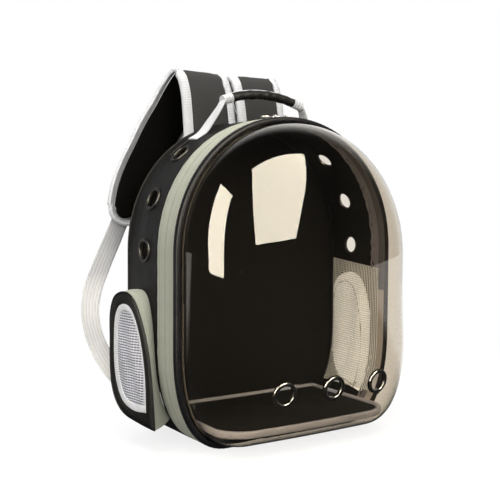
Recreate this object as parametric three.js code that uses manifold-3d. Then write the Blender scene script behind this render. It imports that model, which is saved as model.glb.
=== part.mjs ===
import * as THREE from "three";
import { mergeVertices } from "three/addons/utils/BufferGeometryUtils.js";
import Module from "manifold-3d";

// Bubble pet carrier backpack, in millimetres, +Z up, the clear bubble facing -Y.
// The origin is the centre of the flat underside of the side wall, which the carrier stands on.

// Arch-shaped body seen from the front
const bodyHeight = 420;
const bodyWidth = 344;
const bodyDepth = 132;
const baseFlatWidth = 190;
const cornerRise = 130;
const cornerPower = 2.3;
const archRise = 175;
const archPower = 2.05;
const clearance = 0.3;

// Side wall and back
const wallThickness = 2.5;
const backEdgeThickness = 8;
const backEdgeGap = 2;
const backSoft = 1;
const backCrown = 9;
const backCrownRows = [
  { inset: 0.07, rise: 0.5 },
  { inset: 0.286, rise: 0.9 },
];
const foldDepth = 4;
const foldRowGap = 8;

// Zip round the front of the side wall, and the binding of the front rim
const tapeWidth = 19;
const tapeThickness = 1.4;
const coilWidth = 3;
const coilThickness = 2;
const tapeInset = 0.4;
const coilInset = 0.2;
const rimDepth = 9;
const rimThickness = 8;
const rimSoft = 2;

// Clear bubble
const bubbleRise = 95;
const bubbleWall = 1.5;
const bubbleFlange = 8;
const bubbleSidePower = 2.38;
const bubbleBottomPower = 3.2;
const bubbleTopPower = 2.2;

// Metal eyelets
const sideEyeletRadius = 15.5;
const sideEyeletHole = 10.5;
const bubbleEyeletRadius = 14;
const bubbleEyeletHole = 8.8;
const eyeletBarrel = 1.5;
const eyeletLip = 1.2;
const eyeletSlope = 1;
const eyeletSides = 12;
const cutterLength = 24;
const cutterSides = 16;
const sideEyeletSeat = 1.6;
const bubbleEyeletSeat = 2.4;
const sideEyeletDepth = 19;
const bubbleEyeletHeight = 82;
const bubbleEyeletSpacing = 73;
const sideEyeletRows = [
  { name: "top", up: 0.886 },
  { name: "middle", up: 0.745 },
  { name: "low", up: 0.588 },
];

// Floor mat and its light edge
const matBaseDepth = 98;
const matTop = 32;
const matEdge = 6;
const matBindingWidth = 5;
const matCorner = 26;
const matBackCorner = 4;
const matBackTaper = 0.2;
const matSideGap = 4;
const matFootGap = 2;
const matSoft = 1;
const matRimGap = 3;
const matFrontGap = 5;
const matFrontSteps = 16;

// Mesh panels on the inside of the side wall
const netThickness = 1;
const netBottom = 40;
const netEyeletGap = 5.5;
const netFrontGap = 18;
const netRows = 7;

// Side pockets
const pocketLength = 96;
const pocketHeight = 164;
const pocketBottom = 29;
const pocketBackGap = 3;
const pocketFrontRise = 13;
const pocketBackRise = 28;
const pocketWall = 2;
const pocketFaceThickness = 2;
const pocketBinding = 7;
const pocketFootGap = 1;
const pocketFootRise = 5.6;
const pocketFootTrim = 2.8;
const pocketFootEase = 1.6;
const pocketHoleInset = 8;
const pocketHoleReach = 60;
const pocketCount = 28;

// Shoulder straps and their lower webbing
const strapWidth = 82;
const strapThickness = 10;
const strapSpacing = 88;
const strapRise = 76;
const strapReach = 60;
const strapDrop = 138;
const strapSpread = 110;
const strapBinding = 12;
const strapEdgeSink = 1;
const strapSeamSink = 1;
const strapSections = 24;
const strapSteps = 20;
const tipSteps = 8;
const rootShare = 0.12;
const webbingWidth = 25;
const webbingThickness = 1.6;
const webbingSpread = 162;
const webbingLap = 18;
const webbingEndHeight = 58;

// Top handle
const handleDepth = 26;
const handleSpan = 196;
const handleRise = 35;
const handleLean = 20;
const gripLength = 100;
const gripRadius = 6.5;
const gripSag = 7;
const gripSteps = 8;
const wrapLength = 14;
const wrapRadius = 7.5;
const handleStrapWidth = 29;
const handleStrapThickness = 2;

// Zip sliders
const sliderLength = 11;
const sliderWidth = 8;
const sliderHeight = 5;
const sliderSpacing = 18;
const pullRadius = 5;
const pullWire = 1.1;
const pullStretch = 1.35;

// Places that follow from the sizes above
const halfWidth = bodyWidth / 2;
const frontPlane = -bodyDepth / 2;
const backPlane = bodyDepth / 2;
const rimBack = frontPlane + rimDepth;
const tapeFront = rimBack + clearance;
const coilFront = tapeFront + tapeWidth + clearance;
const rearTapeFront = coilFront + coilWidth + clearance;
const wallFront = rearTapeFront + tapeWidth + clearance;
const archShoulder = bodyHeight - archRise;
const bubbleCentre = bodyHeight / 2;
const baseShare = { base: 2, corner: 7, side: 3, arch: 12 };

// Half-width of the body's outline at a height, moved inwards by an inset
function halfWidthAt(height, inset) {
  const half = halfWidth - inset;
  const flat = baseFlatWidth / 2;
  if (height < cornerRise) {
    const drop = Math.min(1, (cornerRise - height) / (cornerRise - inset));
    return flat + (half - flat) * (1 - drop ** cornerPower) ** (1 / cornerPower);
  }
  if (height > archShoulder) {
    const climb = Math.min(1, (height - archShoulder) / (archRise - inset));
    return half * (1 - climb ** archPower) ** (1 / archPower);
  }
  return half;
}

// Height of the arch above a distance from the middle, moved inwards by an inset
function archHeightAt(x, inset) {
  const reach = Math.min(1, Math.abs(x) / (halfWidth - inset));
  return archShoulder + (archRise - inset) * (1 - reach ** archPower) ** (1 / archPower);
}

// Right half of the outline from the middle of the base to the top of the arch
function outlineHalf(inset) {
  const flat = baseFlatWidth / 2;
  const half = halfWidth - inset;
  const points = [];
  for (let i = 0; i < baseShare.base; i++) {
    points.push(new THREE.Vector2((flat * i) / baseShare.base, inset));
  }
  for (let i = 0; i < baseShare.corner; i++) {
    const turn = (i / baseShare.corner) * (Math.PI / 2);
    const x = flat + (half - flat) * Math.sin(turn) ** (2 / cornerPower);
    const z = cornerRise - (cornerRise - inset) * Math.cos(turn) ** (2 / cornerPower);
    points.push(new THREE.Vector2(x, z));
  }
  for (let i = 0; i < baseShare.side; i++) {
    const z = cornerRise + ((archShoulder - cornerRise) * i) / baseShare.side;
    points.push(new THREE.Vector2(half, z));
  }
  for (let i = 0; i <= baseShare.arch; i++) {
    const turn = (i / baseShare.arch) * (Math.PI / 2);
    const x = i === baseShare.arch ? 0 : half * Math.cos(turn) ** (2 / archPower);
    const z = archShoulder + (archRise - inset) * Math.sin(turn) ** (2 / archPower);
    points.push(new THREE.Vector2(x, z));
  }
  return points;
}

// Whole outline, once round from the middle of the base over +X, the top and -X
function outlineLoop(inset) {
  const right = outlineHalf(inset);
  const left = right.slice(1, -1).reverse().map((p) => new THREE.Vector2(-p.x, p.y));
  return right.concat(left);
}

function ringAt(inset, y) {
  return outlineLoop(inset).map((p) => new THREE.Vector3(p.x, y, p.y));
}

// Turns a triangle list outwards where its volume comes out negative
function closedGeometry(points, triangles) {
  let volume = 0;
  for (const [a, b, c] of triangles) {
    volume += points[a].dot(new THREE.Vector3().crossVectors(points[b], points[c]));
  }
  const index = volume < 0 ? triangles.flatMap(([a, b, c]) => [a, c, b]) : triangles.flat();
  const geometry = new THREE.BufferGeometry();
  geometry.setAttribute("position", new THREE.Float32BufferAttribute(points.flatMap((p) => p.toArray()), 3));
  geometry.setIndex(index);
  return geometry;
}

function bandBetween(firstRow, secondRow, count) {
  const triangles = [];
  for (let i = 0; i < count; i++) {
    const j = (i + 1) % count;
    triangles.push([firstRow + i, firstRow + j, secondRow + j]);
    triangles.push([firstRow + i, secondRow + j, secondRow + i]);
  }
  return triangles;
}

// Ring whose cross-section closes on itself: each section is a closed loop of the same count
function ringLoft(sections) {
  const count = sections[0].length;
  const triangles = [];
  sections.forEach((_, row) => {
    const next = (row + 1) % sections.length;
    triangles.push(...bandBetween(row * count, next * count, count));
  });
  return closedGeometry(sections.flat(), triangles);
}

// Body through closed loops, closed at both ends by fans to a middle point
function cappedLoft(sections, start, end) {
  const count = sections[0].length;
  const points = sections.flat();
  const triangles = [];
  for (let row = 0; row + 1 < sections.length; row++) {
    triangles.push(...bandBetween(row * count, (row + 1) * count, count));
  }
  const startIndex = points.push(start ?? middleOf(sections[0])) - 1;
  const endIndex = points.push(end ?? middleOf(sections.at(-1))) - 1;
  const lastRow = (sections.length - 1) * count;
  for (let i = 0; i < count; i++) {
    const j = (i + 1) % count;
    triangles.push([startIndex, j, i]);
    triangles.push([endIndex, lastRow + i, lastRow + j]);
  }
  return closedGeometry(points, triangles);
}

function middleOf(loop) {
  const middle = new THREE.Vector3();
  loop.forEach((p) => middle.add(p));
  return middle.divideScalar(loop.length);
}

const wasm = await Module();
wasm.setup();

function toSolid(geometry) {
  const plain = geometry.clone();
  plain.deleteAttribute("normal");
  plain.deleteAttribute("uv");
  const merged = mergeVertices(plain, 1e-4);
  return new wasm.Manifold(new wasm.Mesh({
    numProp: 3,
    vertProperties: merged.attributes.position.array,
    triVerts: Uint32Array.from(merged.index.array),
  }));
}

function fromSolid(solid) {
  const mesh = solid.getMesh();
  const geometry = new THREE.BufferGeometry();
  geometry.setAttribute("position", new THREE.BufferAttribute(Float32Array.from(mesh.vertProperties), 3));
  geometry.setIndex(new THREE.BufferAttribute(Uint32Array.from(mesh.triVerts), 1));
  return geometry;
}

function cutAway(geometry, tools) {
  let solid = toSolid(geometry);
  for (const tool of tools) {
    solid = solid.subtract(toSolid(tool));
  }
  return fromSolid(solid);
}

// Offsets a closed loop in its plane, inwards for a positive distance on an anticlockwise loop
function insetLoop(loop, distance) {
  const count = loop.length;
  return loop.map((p, i) => {
    const before = p.clone().sub(loop[(i + count - 1) % count]).normalize();
    const after = loop[(i + 1) % count].clone().sub(p).normalize();
    const normal = new THREE.Vector2(-before.y - after.y, before.x + after.x).normalize();
    const spread = Math.max(0.6, normal.x * -before.y + normal.y * before.x);
    return p.clone().addScaledVector(normal, distance / spread);
  });
}

// Smooth closed loop through a table of shares, with a sharp first corner
function loopFromTable(rows, length, height, count) {
  const points = rows.map((row) => new THREE.Vector3(row.along * length, row.up * height, 0));
  const curve = new THREE.CatmullRomCurve3([...points, points[0].clone()], false, "centripetal");
  const samples = curve.getSpacedPoints(count).slice(0, count);
  return samples.map((p) => new THREE.Vector2(p.x, p.y));
}

const group = new THREE.Group();

function addPiece(name, geometry, look) {
  const mesh = new THREE.Mesh(geometry, new THREE.MeshStandardMaterial(look));
  mesh.name = name;
  group.add(mesh);
  return mesh;
}

const blackCloth = { color: 0x1b1b1d, roughness: 0.75, metalness: 0 };
const sageTape = { color: 0xa3a794, roughness: 0.85, metalness: 0 };
const darkBinding = { color: 0x3a3b3f, roughness: 0.7, metalness: 0 };
const clearSheet = { color: 0xcfc6b4, roughness: 0.05, metalness: 0, transparent: true, opacity: 0.35 };
const darkMetal = { color: 0x4a4b4d, roughness: 0.3, metalness: 1 };
const brightMetal = { color: 0xc9cacc, roughness: 0.25, metalness: 1 };
const whiteBinding = { color: 0xe8e9ea, roughness: 0.6, metalness: 0 };
const greyWebbing = { color: 0xbfc0c2, roughness: 0.7, metalness: 0 };
const lightNet = { color: 0xc8c5bd, roughness: 0.7, metalness: 0 };
const padCloth = { color: 0x232325, roughness: 0.9, metalness: 0 };
const creamEdge = { color: 0xd8cdbd, roughness: 0.8, metalness: 0 };

// Shallow folds pressed into the side wall: where round the outline, how deep and how broad
const wallFolds = [
  { up: 0.94, side: -1, depth: 0.9, reach: 0.075 },
  { up: 0.821, side: -1, depth: 0.7, reach: 0.07 },
  { up: 0.667, side: -1, depth: 0.5, reach: 0.09 },
  { up: 0.94, side: 1, depth: 0.7, reach: 0.075 },
  { up: 0.81, side: 1, depth: 0.8, reach: 0.07 },
  { up: 0.655, side: 1, depth: 0.5, reach: 0.09 },
];

function foldAt(point) {
  let pressed = 0;
  for (const fold of wallFolds) {
    const away = (point.z / bodyHeight - fold.up) / fold.reach;
    if (Math.sign(point.x) === fold.side && Math.abs(away) < 1) {
      pressed += foldDepth * fold.depth * (1 - away * away) ** 2;
    }
  }
  return pressed;
}

// A ring whose points are pressed inwards by the folds, for a share of their depth
function foldedRing(inset, y, share) {
  const centre = new THREE.Vector3(0, y, archShoulder);
  return ringAt(inset, y).map((p) => {
    const inwards = centre.clone().sub(p).normalize();
    return p.addScaledVector(inwards, foldAt(p) * share);
  });
}

function sideWall() {
  const backBand = backPlane - backEdgeThickness - backEdgeGap;
  const foldRow = backBand - foldRowGap;
  const rows = [
    { y: wallFront, fold: 0 },
    { y: sideEyeletDepth + sideEyeletRadius + clearance, fold: 0 },
    { y: foldRow, fold: 1 },
    { y: backBand, fold: 0 },
    { y: backPlane, fold: 0 },
  ];
  const outer = rows.map((row) => foldedRing(0, row.y, row.fold));
  const inner = rows.map((row) => foldedRing(wallThickness, row.y, row.fold)).reverse();
  return ringLoft(outer.concat(inner));
}

// Middle and outward direction of a side eyelet on the outline
function sideEyeletPlace(height, side) {
  const x = halfWidthAt(height, 0);
  const step = 1;
  const slope = (halfWidthAt(height + step, 0) - halfWidthAt(height - step, 0)) / (2 * step);
  const normal = new THREE.Vector3(side, 0, -slope).normalize();
  return { point: new THREE.Vector3(side * x, sideEyeletDepth, height), normal };
}

function placeAlong(geometry, place) {
  const turn = new THREE.Quaternion().setFromUnitVectors(new THREE.Vector3(0, 1, 0), place.normal);
  geometry.applyQuaternion(turn);
  geometry.translate(place.point.x, place.point.y, place.point.z);
  return geometry;
}

const sideEyelets = [];
for (const side of [-1, 1]) {
  for (const row of sideEyeletRows) {
    const sideName = side < 0 ? "left" : "right";
    const place = sideEyeletPlace(row.up * bodyHeight, side);
    sideEyelets.push({ name: `side_eyelet_${sideName}_${row.name}`, place });
  }
}

// Metal eyelet: two flat lips joined by a barrel through the sheet, its axis along +Y before placing
function eyelet(radius, hole, sheet, seat) {
  const barrel = hole + eyeletBarrel;
  const outerSeat = clearance;
  const innerSeat = -sheet - seat;
  const profile = [
    [hole, innerSeat - eyeletLip],
    [radius - eyeletSlope, innerSeat - eyeletLip],
    [radius - eyeletSlope, innerSeat],
    [barrel, innerSeat],
    [barrel, outerSeat],
    [radius, outerSeat],
    [radius - eyeletSlope, outerSeat + eyeletLip],
    [hole, outerSeat + eyeletLip],
    [hole, innerSeat - eyeletLip],
  ];
  return new THREE.LatheGeometry(profile.map(([r, y]) => new THREE.Vector2(r, y)), eyeletSides);
}

function eyeletCutter(hole, place) {
  const radius = hole + eyeletBarrel + clearance;
  const cutter = new THREE.CylinderGeometry(radius, radius, cutterLength, cutterSides);
  return placeAlong(cutter, place);
}

// Outline of a pocket from its front bottom corner, as shares of its length and height
const pocketOutline = [
  { along: 0, up: 0 },
  { along: 0.34, up: 0.02 },
  { along: 0.69, up: 0.06 },
  { along: 0.86, up: 0.135 },
  { along: 0.96, up: 0.25 },
  { along: 1, up: 0.42 },
  { along: 1, up: 0.62 },
  { along: 0.99, up: 0.84 },
  { along: 0.9, up: 0.955 },
  { along: 0.74, up: 1 },
  { along: 0.58, up: 0.995 },
  { along: 0.44, up: 0.94 },
  { along: 0.29, up: 0.8 },
  { along: 0.15, up: 0.59 },
  { along: 0.065, up: 0.33 },
];
const windowOutline = [
  { along: 0.17, up: 0.11 },
  { along: 0.46, up: 0.1 },
  { along: 0.7, up: 0.15 },
  { along: 0.84, up: 0.27 },
  { along: 0.9, up: 0.42 },
  { along: 0.91, up: 0.6 },
  { along: 0.88, up: 0.8 },
  { along: 0.79, up: 0.89 },
  { along: 0.65, up: 0.915 },
  { along: 0.52, up: 0.89 },
  { along: 0.39, up: 0.79 },
  { along: 0.27, up: 0.61 },
  { along: 0.195, up: 0.38 },
];
const pocketBack = backPlane - pocketBackGap;
const pocketFront = pocketBack - pocketLength;

// A loop of the pocket in the plane of its tilted face, sunk below the face by a depth
function pocketFaceLoop(loop, side, sunk) {
  return loop.map((p) => {
    const share = p.x / pocketLength;
    const rise = pocketFrontRise + (pocketBackRise - pocketFrontRise) * share;
    return new THREE.Vector3(side * (halfWidth + rise - sunk), pocketFront + p.x, pocketBottom + p.y);
  });
}

// The pocket's loop where it meets the side wall, pulled back behind the zip
function pocketFootLoop(loop, side) {
  const first = wallFront + clearance + pocketFootGap;
  const last = pocketFront + pocketLength - pocketBackGap;
  return loop.map((p) => {
    const y = first + (last - first) * Math.max(0, p.x / pocketLength) ** pocketFootEase;
    const z = pocketBottom + pocketFootRise + (p.y * (pocketHeight - pocketFootTrim)) / pocketHeight;
    return new THREE.Vector3(side * (halfWidthAt(z, 0) + 2 * clearance), y, z);
  });
}

function pocketPieces(side, sideName) {
  const outer = loopFromTable(pocketOutline, pocketLength, pocketHeight, pocketCount);
  const inner = insetLoop(outer, pocketWall);
  const opening = loopFromTable(windowOutline, pocketLength, pocketHeight, pocketCount);
  const bindingOuter = insetLoop(opening, clearance);
  const bindingInner = insetLoop(opening, pocketBinding);
  const net = insetLoop(opening, pocketBinding + clearance);
  const under = pocketFaceThickness + clearance;
  addPiece(`pocket_zip_${sideName}`, ringLoft([
    pocketFootLoop(outer, side),
    pocketFaceLoop(outer, side, under),
    pocketFaceLoop(inner, side, under),
    pocketFootLoop(inner, side),
  ]), sageTape);
  addPiece(`pocket_face_${sideName}`, ringLoft([
    pocketFaceLoop(outer, side, pocketFaceThickness),
    pocketFaceLoop(outer, side, 0),
    pocketFaceLoop(opening, side, 0),
    pocketFaceLoop(opening, side, pocketFaceThickness),
  ]), blackCloth);
  addPiece(`pocket_binding_${sideName}`, ringLoft([
    pocketFaceLoop(bindingOuter, side, pocketFaceThickness),
    pocketFaceLoop(bindingOuter, side, 0),
    pocketFaceLoop(bindingInner, side, 0),
    pocketFaceLoop(bindingInner, side, pocketFaceThickness),
  ]), whiteBinding);
  addPiece(`pocket_mesh_${sideName}`, cappedLoft([
    pocketFaceLoop(net, side, pocketFaceThickness),
    pocketFaceLoop(net, side, 0),
  ]), lightNet);
}

// Prism that opens the side wall behind a pocket, so that its hollow meets the inner mesh
function pocketCutter(side) {
  const outer = loopFromTable(pocketOutline, pocketLength, pocketHeight, pocketCount);
  const hole = pocketFootLoop(insetLoop(outer, pocketWall + pocketHoleInset), side);
  return cappedLoft([
    hole.map((p) => new THREE.Vector3(side * (halfWidth - pocketHoleReach), p.y, p.z)),
    hole.map((p) => new THREE.Vector3(side * (halfWidth + pocketFrontRise), p.y, p.z)),
  ]);
}

// The mesh panels end below the lowest eyelets
const lowEyeletHeight = Math.min(...sideEyeletRows.map((row) => row.up)) * bodyHeight;
const netTop = lowEyeletHeight - sideEyeletRadius - netEyeletGap;

// Mesh panel that follows the inside of the side wall
function innerNet(side) {
  const first = frontPlane + netFrontGap;
  const last = backPlane - backEdgeThickness - backEdgeGap;
  const outer = wallThickness + 2 * clearance;
  const inner = outer + netThickness;
  const corners = [[first, outer], [last, outer], [last, inner], [first, inner]];
  const sections = [];
  for (let i = 0; i <= netRows; i++) {
    const z = netBottom + ((netTop - netBottom) * i) / netRows;
    sections.push(corners.map(([y, inset]) => {
      return new THREE.Vector3(side * netHalfWidthAt(z, inset), y, z);
    }));
  }
  return cappedLoft(sections);
}

// Keeps the mesh panel off the flats between the outline's points
function netHalfWidthAt(height, inset) {
  const loop = outlineHalf(inset);
  for (let i = 0; i + 1 < loop.length; i++) {
    if (loop[i].y <= height && height <= loop[i + 1].y && loop[i + 1].y > loop[i].y) {
      const share = (height - loop[i].y) / (loop[i + 1].y - loop[i].y);
      return loop[i].x + (loop[i + 1].x - loop[i].x) * share;
    }
  }
  return halfWidth - inset;
}

// Power of the bubble's bulge in the direction of a point of its rim
function bubblePower(direction) {
  const across = direction.x ** 2;
  const upright = direction.y < 0 ? bubbleBottomPower : bubbleTopPower;
  return bubbleSidePower * across + upright * (1 - across);
}

// Point of the bubble: turn 0 is the rim, turn 1 the middle of the front
function bubblePoint(rimPoint, turn, wall) {
  const direction = new THREE.Vector2(rimPoint.x, rimPoint.y - bubbleCentre).normalize();
  const power = bubblePower(direction);
  const angle = (turn * Math.PI) / 2;
  const share = Math.max(0, Math.cos(angle)) ** (2 / power);
  const rise = (bubbleRise - wall) * Math.sin(angle) ** (2 / power);
  const z = bubbleCentre + (rimPoint.y - bubbleCentre) * share;
  return new THREE.Vector3(rimPoint.x * share, frontPlane - rise, z);
}

const bubbleRimInset = rimThickness + clearance;

// Point of the bubble's rim that a direction from its middle meets
function rimInDirection(direction, inset) {
  let low = 0;
  let high = bodyHeight;
  for (let i = 0; i < 40; i++) {
    const reach = (low + high) / 2;
    const z = bubbleCentre + direction.y * reach;
    const within = z > inset && z < bodyHeight - inset
      && Math.abs(direction.x * reach) < halfWidthAt(z, inset);
    if (within) {
      low = reach;
    } else {
      high = reach;
    }
  }
  return low;
}

// Depth of the bubble at a point seen from the front: its outer face, or its inner one for its own wall
function bubbleDepthAt(x, z, wall) {
  const away = new THREE.Vector2(x, z - bubbleCentre);
  const direction = away.clone().normalize();
  const share = Math.min(1, away.length() / rimInDirection(direction, bubbleRimInset + wall));
  const power = bubblePower(direction);
  return frontPlane - (bubbleRise - wall) * (1 - share ** power) ** (1 / power);
}

// The bubble's place and outward direction at a point seen from the front
function bubblePlace(x, z) {
  const step = 0.5;
  const slopeX = (bubbleDepthAt(x + step, z, 0) - bubbleDepthAt(x - step, z, 0)) / (2 * step);
  const slopeZ = (bubbleDepthAt(x, z + step, 0) - bubbleDepthAt(x, z - step, 0)) / (2 * step);
  const normal = new THREE.Vector3(slopeX, -1, slopeZ).normalize();
  return { point: new THREE.Vector3(x, bubbleDepthAt(x, z, 0), z), normal };
}

function bubbleShell() {
  const turns = [0, 0.06, 0.15, 0.27, 0.41, 0.56, 0.71, 0.86];
  const outerRim = outlineLoop(bubbleRimInset);
  const innerRim = outlineLoop(bubbleRimInset + bubbleWall);
  const flangeBack = frontPlane + bubbleFlange;
  const inner = turns.map((turn) => innerRim.map((p) => bubblePoint(p, turn, bubbleWall)));
  const outer = turns.map((turn) => outerRim.map((p) => bubblePoint(p, turn, 0)));
  const sections = [
    ...inner.reverse(),
    ringAt(bubbleRimInset + bubbleWall, flangeBack),
    ringAt(bubbleRimInset, flangeBack),
    ...outer,
  ];
  const innerMiddle = new THREE.Vector3(0, frontPlane - bubbleRise + bubbleWall, bubbleCentre);
  const outerMiddle = new THREE.Vector3(0, frontPlane - bubbleRise, bubbleCentre);
  return cappedLoft(sections, innerMiddle, outerMiddle);
}

function backPanel() {
  const edge = wallThickness + clearance;
  const front = backPlane - backEdgeThickness;
  const sections = [
    ringAt(edge, front),
    ringAt(edge, backPlane - backSoft),
    ...backCrownRows.map((row) => ringAt(edge + row.inset * halfWidth, backPlane + row.rise * backCrown)),
  ];
  const middleHeight = bodyHeight / 2;
  const startMiddle = new THREE.Vector3(0, front, middleHeight);
  const endMiddle = new THREE.Vector3(0, backPlane + backCrown, middleHeight);
  return cappedLoft(sections, startMiddle, endMiddle);
}

// Flat band of the side: a ring between two insets over a stretch of the depth
function bandRing(outerInset, thickness, from, length) {
  const inner = outerInset + thickness;
  return ringLoft([
    ringAt(outerInset, from),
    ringAt(outerInset, from + length),
    ringAt(inner, from + length),
    ringAt(inner, from),
  ]);
}

// Rounded binding of the front rim
function rimBinding() {
  return ringLoft([
    ringAt(rimSoft, frontPlane),
    ringAt(0, frontPlane + rimSoft),
    ringAt(0, rimBack),
    ringAt(rimThickness, rimBack),
    ringAt(rimThickness, frontPlane + rimSoft),
    ringAt(rimThickness - rimSoft, frontPlane),
  ]);
}

const matBack = backPlane - backEdgeThickness - clearance;
const matUnder = matTop - matEdge;
const matHalf = halfWidthAt(matUnder, bubbleRimInset + bubbleWall) - matRimGap;

// Back edge of the mat with its two rounded corners, from the right side to the left
function matBackEdge(half, inset, z) {
  const back = matBack - inset * matBackTaper;
  const points = [];
  for (const side of [1, -1]) {
    const start = side > 0 ? 0 : 90;
    for (let i = 0; i <= 3; i++) {
      const angle = THREE.MathUtils.degToRad(start + 30 * i);
      const x = side * (half - matBackCorner) + matBackCorner * Math.cos(angle);
      points.push(new THREE.Vector3(x, back - matBackCorner + matBackCorner * Math.sin(angle), z));
    }
  }
  return points;
}

// The mat seen from above: square at the back, and its front follows the inside of the bubble
function matLoop(inset, z) {
  const half = matHalf - inset;
  const points = matBackEdge(half, inset, z);
  for (let i = 0; i <= matFrontSteps; i++) {
    const angle = (Math.PI * i) / matFrontSteps;
    const share = -Math.cos(angle);
    const front = bubbleDepthAt(share * matHalf, matUnder, bubbleWall) + matFrontGap;
    points.push(new THREE.Vector3(share * half, front + inset, z));
  }
  return points;
}

// The block below the mat, which stays behind the zip
function matBaseLoop(inset, z) {
  const half = matHalf - inset;
  const front = matBack - matBaseDepth + inset;
  const corner = Math.max(matBackCorner, matCorner - inset);
  const points = matBackEdge(half, inset, z);
  for (const side of [-1, 1]) {
    const start = side < 0 ? 180 : 270;
    for (let i = 0; i <= 4; i++) {
      const angle = THREE.MathUtils.degToRad(start + (90 * i) / 4);
      const x = side * (half - corner) + corner * Math.cos(angle);
      points.push(new THREE.Vector3(x, front + corner + corner * Math.sin(angle), z));
    }
  }
  return points;
}

// Height above which the block's full width clears the rounded corners of the body
function matShoulder() {
  const inside = wallThickness + netThickness + 2 * clearance;
  let z = inside;
  while (halfWidthAt(z, inside) < matHalf + matSideGap) {
    z += 0.5;
  }
  return z;
}

function floorMat() {
  const bottom = wallThickness + clearance;
  const narrow = matHalf - baseFlatWidth / 2 + matFootGap;
  return cappedLoft([
    matBaseLoop(narrow, bottom),
    matBaseLoop(0, matShoulder()),
    matBaseLoop(0, matUnder - clearance),
  ]);
}

// Light edge that frames the top of the mat
function matBinding() {
  return ringLoft([
    matLoop(0, matUnder),
    matLoop(0, matTop - matSoft),
    matLoop(matSoft, matTop),
    matLoop(matBindingWidth, matTop),
    matLoop(matBindingWidth, matUnder),
  ]);
}

function matTopPad() {
  const inset = matBindingWidth + clearance;
  return cappedLoft([
    matLoop(inset, matUnder),
    matLoop(inset, matTop - matSoft),
    matLoop(inset + 2 * matSoft, matTop),
  ]);
}

// Middle line of a shoulder strap as shares: spread outwards, reach behind the seam, rise or drop, width
const strapRows = [
  { spread: 0, reach: 0, up: 0, width: 1 },
  { spread: 0, reach: 0.08, up: 0.37, width: 1 },
  { spread: 0, reach: 0.2, up: 0.71, width: 1 },
  { spread: 0.005, reach: 0.34, up: 0.92, width: 1 },
  { spread: 0.015, reach: 0.53, up: 1, width: 0.99 },
  { spread: 0.05, reach: 0.71, up: 0.92, width: 0.98 },
  { spread: 0.135, reach: 0.87, up: 0.66, width: 0.97 },
  { spread: 0.26, reach: 0.96, up: 0.3, width: 0.95 },
  { spread: 0.41, reach: 1, up: -0.03, width: 0.92 },
  { spread: 0.58, reach: 0.98, up: -0.25, width: 0.87 },
  { spread: 0.75, reach: 0.95, up: -0.455, width: 0.8 },
  { spread: 0.885, reach: 0.9, up: -0.64, width: 0.72 },
  { spread: 0.965, reach: 0.85, up: -0.82, width: 0.66 },
  { spread: 1, reach: 0.8, up: -1, width: 0.6 },
];
const strapSeamHeight = archHeightAt(strapSpacing / 2, 0) - strapSeamSink;
const strapRootDepth = backPlane + clearance + strapThickness / 2;

function strapFrames(side) {
  const points = strapRows.map((row) => new THREE.Vector3(
    side * (strapSpacing / 2 + row.spread * strapSpread),
    strapRootDepth + row.reach * strapReach,
    strapSeamHeight + row.up * (row.up > 0 ? strapRise : strapDrop),
  ));
  const curve = new THREE.CatmullRomCurve3(points, false, "centripetal");
  const length = curve.getLength();
  const frames = [];
  for (let i = 0; i <= strapSections; i++) {
    const share = i / strapSections;
    const centre = curve.getPointAt(share);
    const tangent = curve.getTangentAt(share);
    const across = new THREE.Vector3(1, 0, 0).addScaledVector(tangent, -tangent.x).normalize();
    const normal = new THREE.Vector3().crossVectors(across, tangent).normalize();
    const row = curve.getUtoTmapping(share) * (strapRows.length - 1);
    const low = Math.min(strapRows.length - 2, Math.floor(row));
    const width = THREE.MathUtils.lerp(strapRows[low].width, strapRows[low + 1].width, row - low);
    frames.push({ centre, tangent, across, normal, half: (width * strapWidth) / 2, along: share * length });
  }
  return { frames, length };
}

// Point of the strap's cloth: along its length, across it and proud of its middle
function strapPoint(strap, along, across, proud) {
  const last = strap.frames.length - 1;
  const place = Math.min(last - 1e-6, Math.max(0, (along / strap.length) * last));
  const low = Math.floor(place);
  const share = place - low;
  const a = strap.frames[low];
  const b = strap.frames[low + 1];
  const point = a.centre.clone().lerp(b.centre, share);
  point.addScaledVector(a.across.clone().lerp(b.across, share).normalize(), across);
  point.addScaledVector(a.normal.clone().lerp(b.normal, share).normalize(), proud);
  point.addScaledVector(b.tangent, Math.max(0, along - strap.length));
  return point;
}

function strapHalfAt(strap, along) {
  const last = strap.frames.length - 1;
  const place = Math.min(last, Math.max(0, (along / strap.length) * last));
  const low = Math.min(last - 1, Math.floor(place));
  return THREE.MathUtils.lerp(strap.frames[low].half, strap.frames[low + 1].half, place - low);
}

// Drop of the strap's root at one place across it, so that it follows the arch it is sewn to
function rootShift(strap, along, across) {
  const middle = strap.frames[0].centre.x;
  const fade = Math.max(0, 1 - along / (strap.length * rootShare));
  return (archHeightAt(middle + across, 0) - archHeightAt(middle, 0)) * fade;
}

// Rows along the strap down to where its tip starts to round off
function strapStations(strap) {
  const start = strap.length - strapHalfAt(strap, strap.length);
  return Array.from({ length: strapSteps + 1 }, (_, i) => (start * i) / strapSteps);
}

function strapCorner(strap, along, across, proud) {
  const point = strapPoint(strap, along, across, proud);
  point.z += rootShift(strap, along, across);
  return point;
}

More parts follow.
